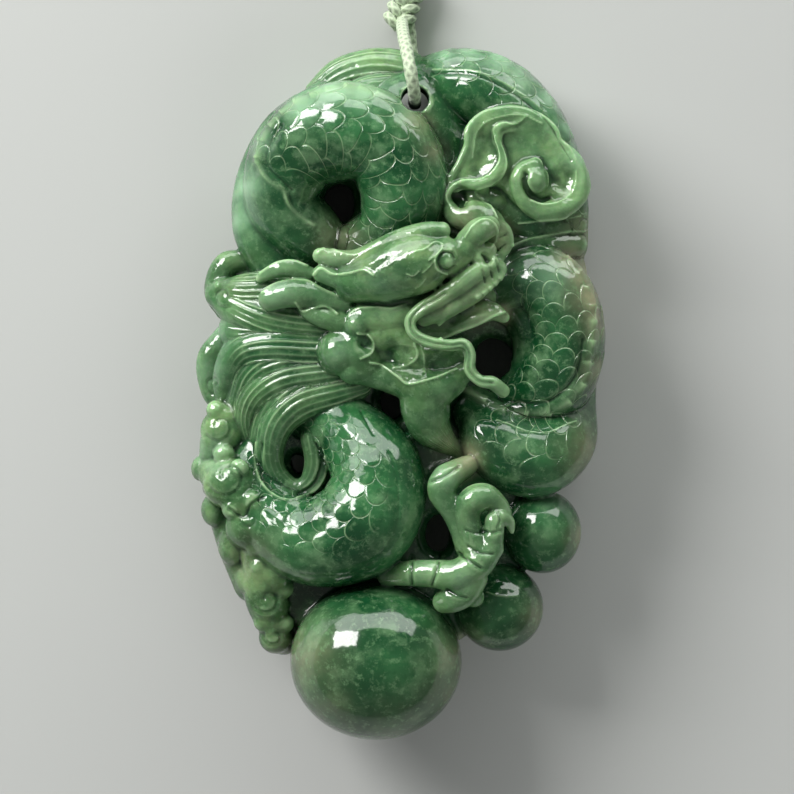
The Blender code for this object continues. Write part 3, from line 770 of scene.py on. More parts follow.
FINISHES = ["plain", "scales", "hair"]
WARMTH = {"coil": 0.05, "flank": 0.3, "head": 0.75, "mane": 0.4, "cloud": 0.9, "claw": 0.6}
OWN_WARMTH = {
    "cheek": 0.35, "jaw": 0.45, "beard": 0.45, "lower horn": 0.5, "ear": 0.45, "cheek plate": 0.6,
    "gum": 1, "fang": 1, "lip": 1, "tongue": 1, "nose crest": 0.95, "tail fan outer": 0.9,
    "tail fan inner": 0.8, "crown sill": 0.6, "right slope": 0.1, "pad flank": 0.1, "ridge bed": 0.4,
    "upper tuft": 0.6, "lock four": 0.4, "swirl": 0.35, "lock two": 0.25, "fill two": 0.25,
}

# Places with a tint: (x, y, radius, strength), some of them painted light and shade.
TINTS = {
    "beige": [
        (197, 70, 18, 0.8), (194, 96, 22, 1.0), (186, 116, 18, 1.0), (172, 134, 16, 0.9),
        (182, 160, 20, 0.5), (66, -66, 15, 1.0), (50, -54, 13, 0.6), (102, 77, 10, 0.9),
        (20, 268, 14, 0.6), (34, 240, 12, 0.5), (188, -60, 26, 0.5), (184, -146, 18, 0.6),
        (144, -226, 20, 0.5), (56, -262, 26, 0.45), (-150, -170, 30, 0.25), (196, 20, 16, 0.5),
        (62, 172, 16, 0.4), (98, 150, 12, 0.5), (-94, -262, 34, 0.35), (-72, -318, 30, 0.2),
        (0, -336, 40, 0.15), (52, -302, 28, 0.25), (-60, 150, 24, 0.4), (70, 92, 20, 0.4),
        (40, 84, 16, 0.4), (102, 160, 14, 0.5), (80, 78, 18, 0.5),
    ],
    # Painted sheen and highlights, milk-white in colour, on the rims and tops that face the lamps.
    "milky_sheen": [
        (44, 342, 14, 0.8), (70, 344, 16, 1.0), (100, 336, 18, 1.0), (128, 318, 18, 1.0),
        (150, 294, 18, 1.0), (167, 264, 16, 1.0), (179, 236, 14, 1.0), (187, 208, 12, 0.8),
        (-66, 300, 20, 0.8), (-34, 296, 18, 0.7), (-100, 282, 18, 0.7), (-138, 246, 14, 0.6),
        (-156, 206, 18, 1.0), (-158, 172, 18, 0.9), (-40, 318, 20, 0.5), (0, 342, 16, 0.5),
        (-186, 60, 16, 0.6), (-192, 20, 16, 0.5), (-190, -60, 18, 0.8), (150, 112, 20, 0.4),
        (108, 120, 14, 0.5), (122, -38, 14, 0.15), (-60, 40, 14, 0.3), (-20, 108, 16, 0.3),
        (24, -172, 12, 0.4), (62, -186, 14, 0.4), (46, -82, 12, 0.5), (150, -112, 14, 0.3),
        (-124, 96, 18, 0.4), (-70, 128, 10, 0.5), (-10, 84, 16, 0.3), (70, 108, 16, 0.3),
    ],
    # Deeper green: partly the stone's own darker tone, on the clouds and claw, and partly painted shade
    # under the jaw and brow, round the crown coil and on the great pearl's lower side.
    "dusky_and_shade": [
        (-24, -336, 46, 0.8), (-96, -268, 26, 0.6), (-78, -318, 30, 0.7), (40, -306, 36, 0.8),
        (60, -262, 24, 0.6), (-24, -272, 70, 0.4), (110, -236, 30, 0.5), (150, -160, 24, 0.4),
        (-14, 150, 30, 0.4), (-146, -146, 30, 0.7), (-128, -206, 28, 0.7), (-164, -98, 26, 0.6),
        (-180, -44, 18, 0.45), (-124, -250, 22, 0.9), (20, -10, 24, 0.3), (-30, 12, 18, 0.3),
        (62, -128, 24, 0.5), (88, -150, 20, 0.4), (60, -200, 16, 0.5), (150, -52, 30, 0.4),
        (-120, 180, 22, 0.3), (-118, -50, 20, 0.4), (136, 230, 26, 0.25), (0, 112, 22, 0.25),
        (40, 30, 20, 0.3),
    ],
}

# Which way each coil's scales point, how far round they reach, their length inside, and their start.
SCALE_WAYS = {
    "crown coil": (1, -1.6, 0.8, 2.6, 70), "crest coil": (1, -1.5, 0.0, 1.6, 0),
    "right coil": (-1, -1.5, 0.9, 1.5, 0), "right flank": (-1, -1.5, 0.15, 1, 0),
    "lower coil": (1, -0.1, 1.15, 1.0, 0),
}

# A scale's width against the space between rows, and how far its rounded edge reaches.
SCALE_SHAPE = 1.6
SCALE_REACH = 0.84

# How far single scales tilt sideways, against their lean.
SCALE_TILT = 2.6

# A carved line is worked out this many points at a time.
LINE_PIECE = 14

# How many rounds of smoothing tell a hollow from an edge, and the shift that counts as a full one.
HOLLOW_ROUNDS = 16
HOLLOW_SHIFT = 0.00012

# The height map that tells which forms stand proud: its cells, its blur and a full step, on the grid.
CELL = 2
CELL_BLUR = 14
PROUD_STEP = 18

# The width of a strand against the mane's, where it differs, and its depth for that width.
STRANDS = {"beard": 0.5, "tail fan outer": 1.3, "tail fan inner": 1.3}
STRAND_DEPTH = 0.2

# Where the mane's strands fade in from the left and from below, and the beard's downwards, on the grid.
MANE_LEFT = (-176, -152)
MANE_LOW = (-70, -15)
BEARD_LOW = (38, 66)

# How far the scales' edges fade, in radians outwards and inwards, and over how much of a coil's start.
SCALE_FADE = (0.3, 0.1)
SCALE_RISE = 25

# Points between two stations of a form, and the room round it in which a point can lie on it.
ROUTE_STEPS = 8
FORM_ROOM = 6

# How warm a pearl is, by a word in its name, or else this much.
PEARL_WARMTH = {"cloud": 0.9, "scroll": 0.9, "cheek": 0.4}
PLAIN_PEARL = 0.08

# Warmth, radius and least distance from the forms: of the ground, and of the scroll past its corner.
GROUND = (0.2, 25, 3)
LEAF = (0.85, 12, 2)
LEAF_CORNER = (40, 165, 100)

# A carved line: the space between its points, its reach in widths, its lowest level, and a broad width.
LINE_SPACING = 0.8
LINE_REACH = 2.5
LINE_LOW = 70
BROAD_LINE = 6

# How far a face has to turn up before it is carved, and where it is so fully.
FACING = (0.05, 0.35)

# The radius below which a form is thin and how fast that fades, and the rounds that smooth each value.
THIN = (5, 24)
THIN_ROUNDS = 10
WARM_ROUNDS = 24
PROUD_ROUNDS = 6

# Rows and columns of scales are counted from here, so that none is below 0.
FIRST_ROW = 100

# The drilled hole's top, on the grid, and its bend and the height of its exit, in cord diameters.
DRILL_TOP = 200
DRILL_BEND = 2
DRILL_EXIT = 0.6

# The braid: sides of the cord, height and number of its strands, and their turns, slant and mean.
BRAID_SIDES = 16
BRAID_RELIEF = 0.06
BRAID_STRANDS = 8
BRAID_TURN = 0.9
BRAID_SLANT = 1.6
BRAID_MEAN = 0.6


def group_of(name):
    """The group of forms that a form belongs to."""
    groups = {"coil": COILS, "flank": FLANKS, "head": HEAD, "mane": MANE, "cloud": CLOUDS, "claw": CLAW}
    return next(key for key, group in groups.items() if name in group)


def finish_of(name):
    """Which relief a form carries."""
    if name in ("tail fan outer", "tail fan inner", "beard"):
        return FINISHES.index("hair")
    if name in ("lower branch", "upper branch"):
        return FINISHES.index("plain")
    return FINISHES.index({"coil": "scales", "mane": "hair"}.get(group_of(name), "plain"))


def to_grid(points):
    """Points of the frame, in metres, as grid points."""
    grid = points / unit()
    grid[:, 0] += GRID_MIDDLE[0]
    grid[:, 1] += GRID_MIDDLE[1]
    return grid


def survey(points):
    """For each grid point: the form it lies on, and how far along and around that form it is."""
    count = len(points)
    nearest = np.full(count, 1e9)
    keys = "finish along around angle radius warm low high way strand inner start"
    facts = {key: np.zeros(count) for key in keys.split()}
    for name, stations in front_forms().items():
        route = smooth_route(stations, ROUTE_STEPS)
        middle, radii = route[:, :3], route[:, 3]
        low = (middle - radii[:, None]).min(axis=0) - FORM_ROOM
        high = (middle + radii[:, None]).max(axis=0) + FORM_ROOM
        near = within(points, low, high)
        if not len(near):
            continue
        tangents = np.gradient(middle, axis=0)
        tangents /= np.linalg.norm(tangents, axis=1)[:, None]
        lengths = reach_along(middle)
        up = np.array([0, 0, 1.0]) - tangents * tangents[:, 2:]
        up /= np.linalg.norm(up, axis=1)[:, None]
        side = np.cross(tangents, up)
        distance = np.linalg.norm(points[near][:, None, :] - middle[None], axis=2)
        at = (distance - radii).argmin(axis=1)
        best = (distance - radii)[np.arange(len(near)), at]
        won = best < nearest[near]
        chosen, at, distance = near[won], at[won], distance[won]
        nearest[chosen] = best[won]
        spread = 0.3 * np.median(radii) + 3
        weights = np.exp((distance.min(axis=1)[:, None] ** 2 - distance**2) / spread**2)
        weights /= weights.sum(axis=1)[:, None]
        offset = points[chosen] - weights @ middle
        angle = np.arctan2(
            np.sum(offset * (weights @ side), axis=1), np.sum(offset * (weights @ up), axis=1)
        )
        facts["finish"][chosen] = finish_of(name)
        facts["along"][chosen] = weights @ lengths
        facts["strand"][chosen] = STRANDS.get(name, 1)
        facts["angle"][chosen] = angle
        facts["around"][chosen] = angle * np.median(radii)
        facts["radius"][chosen] = radii[at]
        facts["warm"][chosen] = OWN_WARMTH.get(name, WARMTH[group_of(name)])
        way, first, last, inner, start = SCALE_WAYS.get(name, (1, -9, 9, 1, 0))
        facts["way"][chosen], facts["low"][chosen], facts["high"][chosen] = way, first, last
        facts["inner"][chosen], facts["start"][chosen] = inner, start
    for name, (centre, half_widths) in PEARLS.items():
        depth = (np.linalg.norm((points - centre) / half_widths, axis=1) - 1) * min(half_widths)
        won = depth < nearest
        nearest[won] = depth[won]
        facts["finish"][won] = FINISHES.index("plain")
        facts["radius"][won] = min(half_widths)
        warmths = [warmth for word, warmth in PEARL_WARMTH.items() if word in name]
        facts["warm"][won] = [*warmths, PLAIN_PEARL][0]
    flat = np.maximum(points[:, 2] - GROUND_HIGH, GROUND_LOW - points[:, 2])
    past = np.all(points > LEAF_CORNER, axis=1)
    for (warmth, radius, least), there in ((GROUND, flat < nearest), (LEAF, past)):
        won = there & (nearest > least)
        facts["finish"][won] = FINISHES.index("plain")
        facts["warm"][won], facts["radius"][won] = warmth, radius
    return facts


def scale_places(facts):
    """Each point's place among the scales: rows along the coil, and scales across, longer inwards."""
    pitch = bpy.context.scene.jade.scale_width / unit()
    around = facts["around"]
    across = around / pitch / np.where(around < 0, 1.15, np.maximum(facts["inner"], 1))
    return facts["way"] * facts["along"] / pitch, across


def strand_width(facts):
    """The width of a strand at each point, on the grid."""
    return np.maximum(facts["strand"], 0.1) * bpy.context.scene.jade.hair_width / unit()


def strand_mask(facts, grid):
    """Where the mane, the tail fan and the beard show their strands."""
    mask = (facts["finish"] == FINISHES.index("hair")) * faded(grid[:, 0], *MANE_LEFT)
    beard = facts["strand"] == STRANDS["beard"]
    low = faded(0.8 * (grid[:, 0] - 26) - grid[:, 1], *BEARD_LOW)
    mask = np.where(beard, 0.5 * mask * low, mask * (0.25 + 0.75 * faded(grid[:, 1], *MANE_LOW)))
    uneven = np.sin(2.4 * np.round(facts["around"] / strand_width(facts)))
    return mask * (0.62 + 0.38 * uneven)


def scale_relief(along, across):
    """The height, from -1 to 1, of overlapping scales in rows one unit apart."""
    height = np.zeros(len(along))
    covered = np.zeros(len(along), bool)
    for step in (0, 1):
        row = np.floor(along) + step
        shift = 0.5 * (row % 2)
        distance = np.hypot(along - row, SCALE_SHAPE * (across - shift - np.round(across - shift)))
        top = (distance < SCALE_REACH) & ~covered
        height[top] = ((along - row) / SCALE_REACH)[top]
        covered |= top
    return height


def faded(values, low, high):
    """0 up to low and 1 from high on, with a smooth rise between."""
    share = np.clip((values - low) / (high - low), 0, 1)
    return share * share * (3 - 2 * share)


def scale_mask(facts):
    """Where a coil shows its scales."""
    outwards, inwards = SCALE_FADE
    mask = faded(facts["angle"], facts["low"] - outwards, facts["low"] + inwards)
    mask *= 1 - faded(facts["angle"], facts["high"] - inwards, facts["high"] + outwards)
    mask *= faded(facts["along"] - facts["start"], 0, SCALE_RISE)
    return mask * (facts["finish"] == FINISHES.index("scales"))


def whorl(x, y, radius, first, turns):
    """The path of a spiral that turns inwards."""
    shares = np.linspace(0, 1, 13)
    angles = np.radians(first) + shares * turns * math.tau
    reach = radius * (1 - 0.75 * shares)
    return list(zip(x + reach * np.cos(angles), y + reach * np.sin(angles)))


def carved_lines():
    """Every engraved or raised line: height, width, bead and path."""
    return [*LINES.values(), *((-WHORL_DEPTH, WHORL_WIDTH, 0, whorl(*place)) for place in WHORLS)]


def line_bell(grid, route, width, bead):
    """How strongly a carved line shows at each grid point, from 0 to 1, a short piece at a time."""
    lengths = reach_along(route)
    bell = np.zeros(len(grid))
    for start in range(0, len(route) - 1, LINE_PIECE):
        piece = route[start:start + LINE_PIECE + 1]
        low, high = piece.min(axis=0) - LINE_REACH * width, piece.max(axis=0) + LINE_REACH * width
        near = within(grid[:, :2], low, high)
        if not len(near):
            continue
        distance = np.linalg.norm(grid[near][:, None, :2] - piece[None], axis=2)
        shown = np.exp(-((distance.min(axis=1) / width) ** 2))
        if bead:
            shown *= 0.5 + 0.5 * (lengths[start + distance.argmin(axis=1)] / bead % 1)
        bell[near] = np.maximum(bell[near], shown)
    return bell


def engraving(grid):
    """The height of the carved lines at each grid point, and how near the point is to a raised one."""
    rise = np.zeros(len(grid))
    edge = np.zeros(len(grid))
    for height, width, bead, path in carved_lines():
        route = evenly_spaced(smooth_route(path, ROUTE_STEPS), LINE_SPACING)
        low, high = route.min(axis=0) - LINE_REACH * width, route.max(axis=0) + LINE_REACH * width
        inside = np.all((grid[:, :2] > low) & (grid[:, :2] < high), axis=1) & (grid[:, 2] > LINE_LOW)
        near = np.flatnonzero(inside)
        if not len(near):
            continue
        bell = line_bell(grid[near], route, width, bead)
        rise[near] += height * bell
        # Narrow raised lines are noted for a painted highlight along them.
        if width < BROAD_LINE:
            edge[near] = np.maximum(edge[near], bell**2 * np.clip(height / 2, 0, 1))
    return rise * unit(), edge


def carve_relief(carving):
    """Scales, hair and lines cut into the united forms, by moving their points in and out."""
    jade = bpy.context.scene.jade
    mesh = carving.data
    points, normals, edges = shape_of(mesh)
    grid = to_grid(points)
    facts = survey(grid)
    rise = 0.5 * scale_relief(*scale_places(facts)) * scale_mask(facts) * jade.scale_relief
    strand = np.abs(np.cos(np.pi * facts["around"] / strand_width(facts))) ** 0.7
    deep = strand_mask(facts, grid) * (facts["strand"] >= 1)
    rise += (strand - 0.7) * deep * jade.hair_width * STRAND_DEPTH
    rise = neighbour_mean(rise, edges, 1)
    lines, _ = engraving(grid)
    rise += lines * faded(normals[:, 2], *FACING)
    rise *= faded(grid[:, 2], GROUND_LOW + 4, GROUND_LOW + 12)
    move_points(mesh, points + normals * rise[:, None])


def drill_cutter():
    """The bore for the cord: down from the front, then along the back and out at the top."""
    cord = bpy.context.scene.cord
    x, y = placed((*DRILL_PLACE, 0))[:2]
    bend = DRILL_BEND * cord.diameter
    back_exit = DRILL_EXIT * cord.diameter
    turn = [
        (x, y + bend * (1 - math.cos(angle)), back_exit + bend * (1 - math.sin(angle)))
        for angle in np.radians(np.arange(0, 91, 10))
    ]
    drill = bpy.context.scene.jade.drill
    route = [(x, y, DRILL_TOP * unit()), *turn, (x, y + 3 * bend, back_exit - drill / 2)]
    curve = add_curve(
        "drill", "POLY", [np.array(route)], dimensions="3D", bevel_depth=drill / 2, bevel_resolution=10,
        use_fill_caps=True,
    )
    cutter = add_object("drill", curve)
    bpy.ops.object.convert(target="MESH")
    bpy.ops.object.mode_set(mode="EDIT")
    bpy.ops.mesh.select_all(action="SELECT")
    bpy.ops.mesh.remove_doubles(threshold=1e-6)
    bpy.ops.mesh.normals_make_consistent(inside=False)
    bpy.ops.object.mode_set(mode="OBJECT")
    return cutter


def grind_back(carving):
    """The back made flat where it would reach below the table."""
    points = every(carving.data.vertices, "co")
    move_points(carving.data, np.maximum(points, (-np.inf, -np.inf, 0)))


def proudness(grid):
    """How far each grid point stands above the mean height round it on the front, from -1 to 1."""
    places = ((grid[:, :2] + GRID_HEIGHT / 2) / CELL).astype(int)
    top = np.zeros((GRID_HEIGHT // CELL + 1,) * 2)
    np.maximum.at(top, (places[:, 0], places[:, 1]), grid[:, 2])
    reach = np.arange(-3 * CELL_BLUR, 3 * CELL_BLUR + 1, CELL)
    bell = np.exp(-0.5 * (reach / CELL_BLUR) ** 2)
    sums = []
    for layer in (top, (top > 0).astype(float)):
        for axis in (0, 1):
            layer = np.apply_along_axis(np.convolve, axis, layer, bell, mode="same")
        sums.append(layer[places[:, 0], places[:, 1]])
    proud = np.clip((grid[:, 2] - sums[0] / sums[1]) / PROUD_STEP, -1, 1)
    return proud * faded(grid[:, 2], GROUND_HIGH - 30, GROUND_HIGH)


def note_hollows(carving):
    """How hollow each point lies, from 0 on an edge to 1 in a crease, and how proud its form stands."""
    mesh = carving.data
    points, normals, edges = shape_of(mesh)
    shift = neighbour_mean(points, edges, HOLLOW_ROUNDS) - points
    hollow = np.sum(shift * normals, axis=1) / HOLLOW_SHIFT
    hollow = 0.5 + 0.5 * neighbour_mean(np.clip(hollow, -1, 1), edges, 1)
    # From these values the material paints shade in creases and low-lying places, and light on edges
    # and proud forms.
    note(mesh, "hollow", hollow)
    note(mesh, "proud", neighbour_mean(proudness(to_grid(points)), edges, PROUD_ROUNDS))


def note_finish(carving):
    """What the jade's material needs at each point: thin places, warmth, tints, lines and scales."""
    mesh = carving.data
    points, normals, edges = shape_of(mesh)
    grid = to_grid(points)
    facts = survey(grid)
    # Thin places are noted so that the material paints them paler, as light shining through them.
    least, fading = THIN
    thin = neighbour_mean(np.clip(1 - (facts["radius"] - least) / fading, 0, 1), edges, THIN_ROUNDS)
    warm = neighbour_mean(facts["warm"], edges, WARM_ROUNDS)
    _, edge = engraving(grid)
    edge *= faded(normals[:, 2], *FACING)
    noted = {"thin": thin, "warm": warm, "edge": edge}
    for name, places in TINTS.items():
        noted[name] = np.zeros(len(grid))
        for x, y, radius, strength in places:
            spot = np.exp(-(((grid[:, 0] - x) ** 2 + (grid[:, 1] - y) ** 2) / radius**2))
            noted[name] = np.maximum(noted[name], strength * spot)
    for name, values in noted.items():
        note(mesh, name, values)
    along, across = scale_places(facts)
    hair = facts["finish"] == FINISHES.index("hair")
    across = np.where(hair, facts["around"] / strand_width(facts), across)
    mask = scale_mask(facts) - strand_mask(facts, grid)
    places = np.column_stack([along + FIRST_ROW, across + FIRST_ROW, mask])
    attribute = mesh.attributes.new("scales", "FLOAT_VECTOR", "POINT")
    attribute.data.foreach_set("vector", places.astype(np.float32).ravel())


class PENDANT_OT_carving(bpy.types.Operator):
    """Carve the dragon: unite its forms, cut scales and hair, drill it and grind its back"""

    bl_idname = "pendant.carving"
    bl_label = "Carve the dragon"

    def execute(self, context):
        jade = context.scene.jade
        forms = list(front_forms().values()) + back_forms()
        shells = [tube_shells(forms), *slab_shells(), *pearl_shells()]
        carving = join(shells, "dragon")
        grain = jade.grain * 1
        apply_modifier(carving, "REMESH", mode="VOXEL", voxel_size=grain)
        apply_modifier(carving, "SMOOTH", factor=0.5, iterations=7)
        carve_relief(carving)
        cutter = drill_cutter()
        apply_modifier(carving, "BOOLEAN", operation="DIFFERENCE", solver="MANIFOLD", object=cutter)
        bpy.data.objects.remove(cutter)
        grind_back(carving)
        note_hollows(carving)
        count = sum(len(face.vertices) - 2 for face in carving.data.polygons)
        if count > jade.faces:
            apply_modifier(carving, "DECIMATE", ratio=jade.faces / count)
        note_finish(carving)
        dress(carving, jade_finish())
        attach(carving, "root")
        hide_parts("jade_carving")
        return {"FINISHED"}


def frames_along(path):
    """For each point of a path, two directions across it that turn as little as they can."""
    tangents = np.gradient(path, axis=0)
    tangents /= np.linalg.norm(tangents, axis=1)[:, None]
    across = np.zeros_like(path)
    first = np.cross(tangents[0], (0, 0, 1.0))
    if np.linalg.norm(first) < 0.1:
        first = np.cross(tangents[0], (1.0, 0, 0))
    across[0] = first / np.linalg.norm(first)
    for index in range(1, len(path)):
        step = across[index - 1] - tangents[index] * np.dot(across[index - 1], tangents[index])
        across[index] = step / np.linalg.norm(step)
    return across, np.cross(tangents, across)


def evenly_spaced(path, spacing):
    """Points along the path, as near to the spacing apart as its length allows, with both its ends."""
    lengths = reach_along(path)
    count = max(2, round(lengths[-1] / spacing))
    reach = np.linspace(0, lengths[-1], count + 1)
    return np.array([np.interp(reach, lengths, column) for column in path.T]).T


def braid_tube(name, path, radius, sides=BRAID_SIDES):
    """A closed tube along the path with a braided surface and its own UV map."""
    across, upward = frames_along(path)
    lengths = reach_along(path)
    angles = np.arange(sides) * math.tau / sides
    turn = lengths[:, None] / (radius * math.tau) * BRAID_TURN * math.tau
    half = BRAID_STRANDS / 2
    one = np.cos(half * (angles + turn / half * BRAID_SLANT))
    other = np.cos(half * (angles - turn / half * BRAID_SLANT))
    bulge = 1 + BRAID_RELIEF * (np.maximum(one, other) - BRAID_MEAN)
    reach = radius * bulge
    points = (
        path[:, None, :]
        + across[:, None, :] * (reach * np.cos(angles))[..., None]
        + upward[:, None, :] * (reach * np.sin(angles))[..., None]
    )
    ring, side = np.mgrid[:len(path) - 1, :sides]
    corners = [(ring, side), (ring, side + 1), (ring + 1, side + 1), (ring + 1, side)]
    faces = np.stack([row * sides + place % sides for row, place in corners], axis=-1)
    faces = faces.reshape(-1, 4).tolist()
    faces.append(list(range(sides))[::-1])
    faces.append(list(range((len(path) - 1) * sides, len(path) * sides)))
    mesh = bpy.data.meshes.new(name)
    mesh.from_pydata(points.reshape(-1, 3), [], faces)
    layer = mesh.uv_layers.new(name="braid")
    uvs = np.zeros((len(mesh.loops), 2))
    lengths /= math.tau * radius
    shares = [np.stack([place / sides, lengths[row]], axis=-1) for row, place in corners]
    uvs[:ring.size * 4] = np.stack(shares, axis=2).reshape(-1, 2)
    layer.data.foreach_set("uv", uvs.ravel())
    mesh.validate()
    return mesh


def coil_turns():
    """The cord's turns in the coil: inwards along the bottom layer, and outwards along the top one."""
    cord = bpy.context.scene.cord
    pitch = cord.diameter + cord.slack
    wide = cord.turns_wide
    columns = [*range(wide - 1, -1, -1), *range(wide)]
    turns = len(columns)
    total = turns - 1 + COIL_LAST / 360
    shares = np.linspace(0, total, round(total * COIL_STEPS) + 1)
    radii, levels = [], []
    for share in shares:
        turn = min(int(share), turns - 1)
        part = share - turn
        ease = faded(part, 0.8, 1)
        here = columns[turn]
        after = columns[min(turn + 1, turns - 1)]
        radii.append(cord.coil_radius + ((1 - ease) * here + ease * after - (wide - 1) / 2) * pitch)
        layer, next_layer = turn // wide, min(turn + 1, turns - 1) // wide
        levels.append(cord.diameter / 2 + ((1 - ease) * layer + ease * next_layer) * pitch)
    angles = math.radians(COIL_START) + shares * math.tau
    x, y = (place * MILLIMETRE for place in COIL_PLACE)
    return np.column_stack([x + radii * np.cos(angles), y + radii * np.sin(angles), levels])


def cord_path():
    """The whole cord: from the knot through the hole and back, round the coil and home to the knot."""
    centre = np.array(KNOT_PLACE)
    before = np.vstack([centre + KNOT_START, BAIL_ROUTE[::-1], centre + KNOT_THROUGH, LEAD_RIGHT])
    after = np.vstack([LEAD_LEFT[::-1], centre + KNOT_END])
    return smooth_route(np.vstack([before * MILLIMETRE, coil_turns(), after * MILLIMETRE]), 4)


class PENDANT_OT_cord(bpy.types.Operator):
    """Lay the braided cord: doubled through the hole, knotted and wound into a coil"""

    bl_idname = "pendant.cord"
    bl_label = "Lay the cord"

    def execute(self, context):
        cord = context.scene.cord
        path = evenly_spaced(cord_path(), cord.diameter / 4)
        piece = add_object("braided_cord", braid_tube("braided_cord", path, cord.diameter / 2))
        dress(piece, braid_finish())
        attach(piece, "root")
        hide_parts("cord_bail", "cord_lead_right", "cord_lead_left", "cord_coil")
        return {"FINISHED"}


class PENDANT_OT_knot(bpy.types.Operator):
    """Tie the knot above the carving: loops of cord that cross each other"""

    bl_idname = "pendant.knot"
    bl_label = "Tie the knot"

    def execute(self, context):
        cord = context.scene.cord
        centre = np.array(KNOT_PLACE)
        turn = math.radians(KNOT_TURN)
        axis = np.array([-math.sin(turn), math.cos(turn), 0])
        across = np.array([math.cos(turn), math.sin(turn), 0])
        upward = np.array([0, 0, 1.0])
        angles = np.linspace(0, math.tau, 49)[:, None]
        wide, high = KNOT_LOOP
        aside, apart = KNOT_ASIDE
        flat, steep = KNOT_SLOPE
        loops = []
        for row in range(KNOT_ROWS):
            for lean in (-1, 1):
                level = (row - KNOT_MIDDLE) * KNOT_PITCH + lean * apart
                middle = centre + axis * level + across * lean * aside
                slope = across * flat + axis * lean * steep
                path = middle + slope * (wide * np.cos(angles)) + upward * (high * np.sin(angles))
                tube = braid_tube("loop", path * MILLIMETRE, cord.diameter * KNOT_CORD)
                loops.append(add_object("loop", tube))
        knot = join(loops, "knot")
        dress(knot, braid_finish())
        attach(knot, "root")
        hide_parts("cord_knot")
        return {"FINISHED"}


class Shade:
    """A node socket that can be used in arithmetic, which adds Math nodes to its tree."""

    def __init__(self, tree, socket):
        self.tree = tree
        self.socket = socket

    def maths(self, operation, *others):
        return node(self.tree, "ShaderNodeMath", {"operation": operation}, [self, *others])

    def __add__(self, other):
        return self.maths("ADD", other)

    __radd__ = __add__

    def __sub__(self, other):
        return self.maths("SUBTRACT", other)

    def __rsub__(self, other):
        return node(self.tree, "ShaderNodeMath", {"operation": "SUBTRACT"}, [other, self])

    def __mul__(self, other):
        return self.maths("MULTIPLY", other)

    __rmul__ = __mul__

    def __pow__(self, other):
        return self.maths("POWER", other)

    def clamped(self, low=0.0, high=1.0):
        return node(self.tree, "ShaderNodeClamp", {}, {"Value": self, "Min": low, "Max": high})

    def stepped(self, low, high):
        settings = {"interpolation_type": "SMOOTHSTEP"}
        values = {"Value": self, "From Min": low, "From Max": high}
        return node(self.tree, "ShaderNodeMapRange", settings, values)


def node(tree, kind, settings, values=(), output=0):
    """A node of that kind with its settings and its sockets' values or links; gives one output."""
    made = tree.nodes.new(kind)
    for key, value in settings.items():
        setattr(made, key, value)
    for key, value in values.items() if isinstance(values, dict) else enumerate(values):
        if isinstance(value, Shade):
            tree.links.new(value.socket, made.inputs[key])
        else:
            made.inputs[key].default_value = value
    return Shade(tree, made.outputs[output])


def mixed(tree, factor, one, other):
    """Two colours mixed by a factor."""
    colours = [colour if isinstance(colour, Shade) else (*colour, 1) for colour in (one, other)]
    values = {0: factor, 6: colours[0], 7: colours[1]}
    return node(tree, "ShaderNodeMix", {"data_type": "RGBA"}, values, 2)


def new_finish(name):
    """A material with its tree and its shader."""
    material = bpy.data.materials.new(name)
    material.use_nodes = True
    tree = material.node_tree
    return material, tree, tree.nodes["Principled BSDF"]


def scale_lines(tree):
    """The line round each scale and the crest of each strand, from 0 to 1, and how a scale leans."""
    place = node(tree, "ShaderNodeAttribute", {"attribute_name": "scales"}, output=1)
    parts = [node(tree, "ShaderNodeSeparateXYZ", {}, [place], index) for index in range(3)]
    along, across, mask = parts
    first = along.maths("FLOOR")
    distances, tilts = [], []
    for step in (0, 1):
        row = first + step
        shifted = across - row.maths("FLOORED_MODULO", 2) * 0.5
        column = shifted.maths("ROUND")
        ahead, sideways = along - row, (shifted - column) * SCALE_SHAPE
        distances.append((ahead * ahead + sideways * sideways) ** 0.5 - SCALE_REACH)
        code = {"W": row * 7.3 + column * 3.1}
        chance = node(tree, "ShaderNodeTexWhiteNoise", {"noise_dimensions": "1D"}, code)
        tilts.append(sideways * (chance - 0.5) * SCALE_TILT + ahead * (chance * 0.8 + 0.5))
    near, far = distances
    inside = near.maths("LESS_THAN", 0.0)
    further = far.maths("ABSOLUTE") + inside * 9.0
    gap = near.maths("ABSOLUTE").maths("MINIMUM", further)
    strand = (across * math.pi).maths("COSINE").maths("ABSOLUTE")
    lean = inside * tilts[0] + (1 - inside) * tilts[1]
    scales = (1 - gap.stepped(0.012, 0.06)) * mask.clamped()
    return scales, strand**5 * (0 - mask).clamped(), lean * mask.clamped()


def drilled(tree, place):
    """1 on the wall of the cord's hole and 0 elsewhere: the wall is rougher, as it isn't polished, and
    is painted dark as painted shade inside the hole.
    """
    mouth = placed((*DRILL_PLACE, 0))
    flat = node(tree, "ShaderNodeVectorMath", {"operation": "MULTIPLY"}, [place, (1, 1, 0)])
    middle = (mouth[0], mouth[1], 0)
    apart = node(tree, "ShaderNodeVectorMath", {"operation": "DISTANCE"}, [flat, middle], 1)
    radius = bpy.context.scene.jade.drill / 2
    return (1.08 * radius - apart).stepped(0, 0.05 * radius)


# How the jade bends light, and how far light goes into it.
JADE_SHINE = {
    "IOR": 1.66, "Subsurface Weight": 0.5,
    "Subsurface Radius": (0.35, 1.0, 0.45), "Subsurface Scale": 0.0012,
}


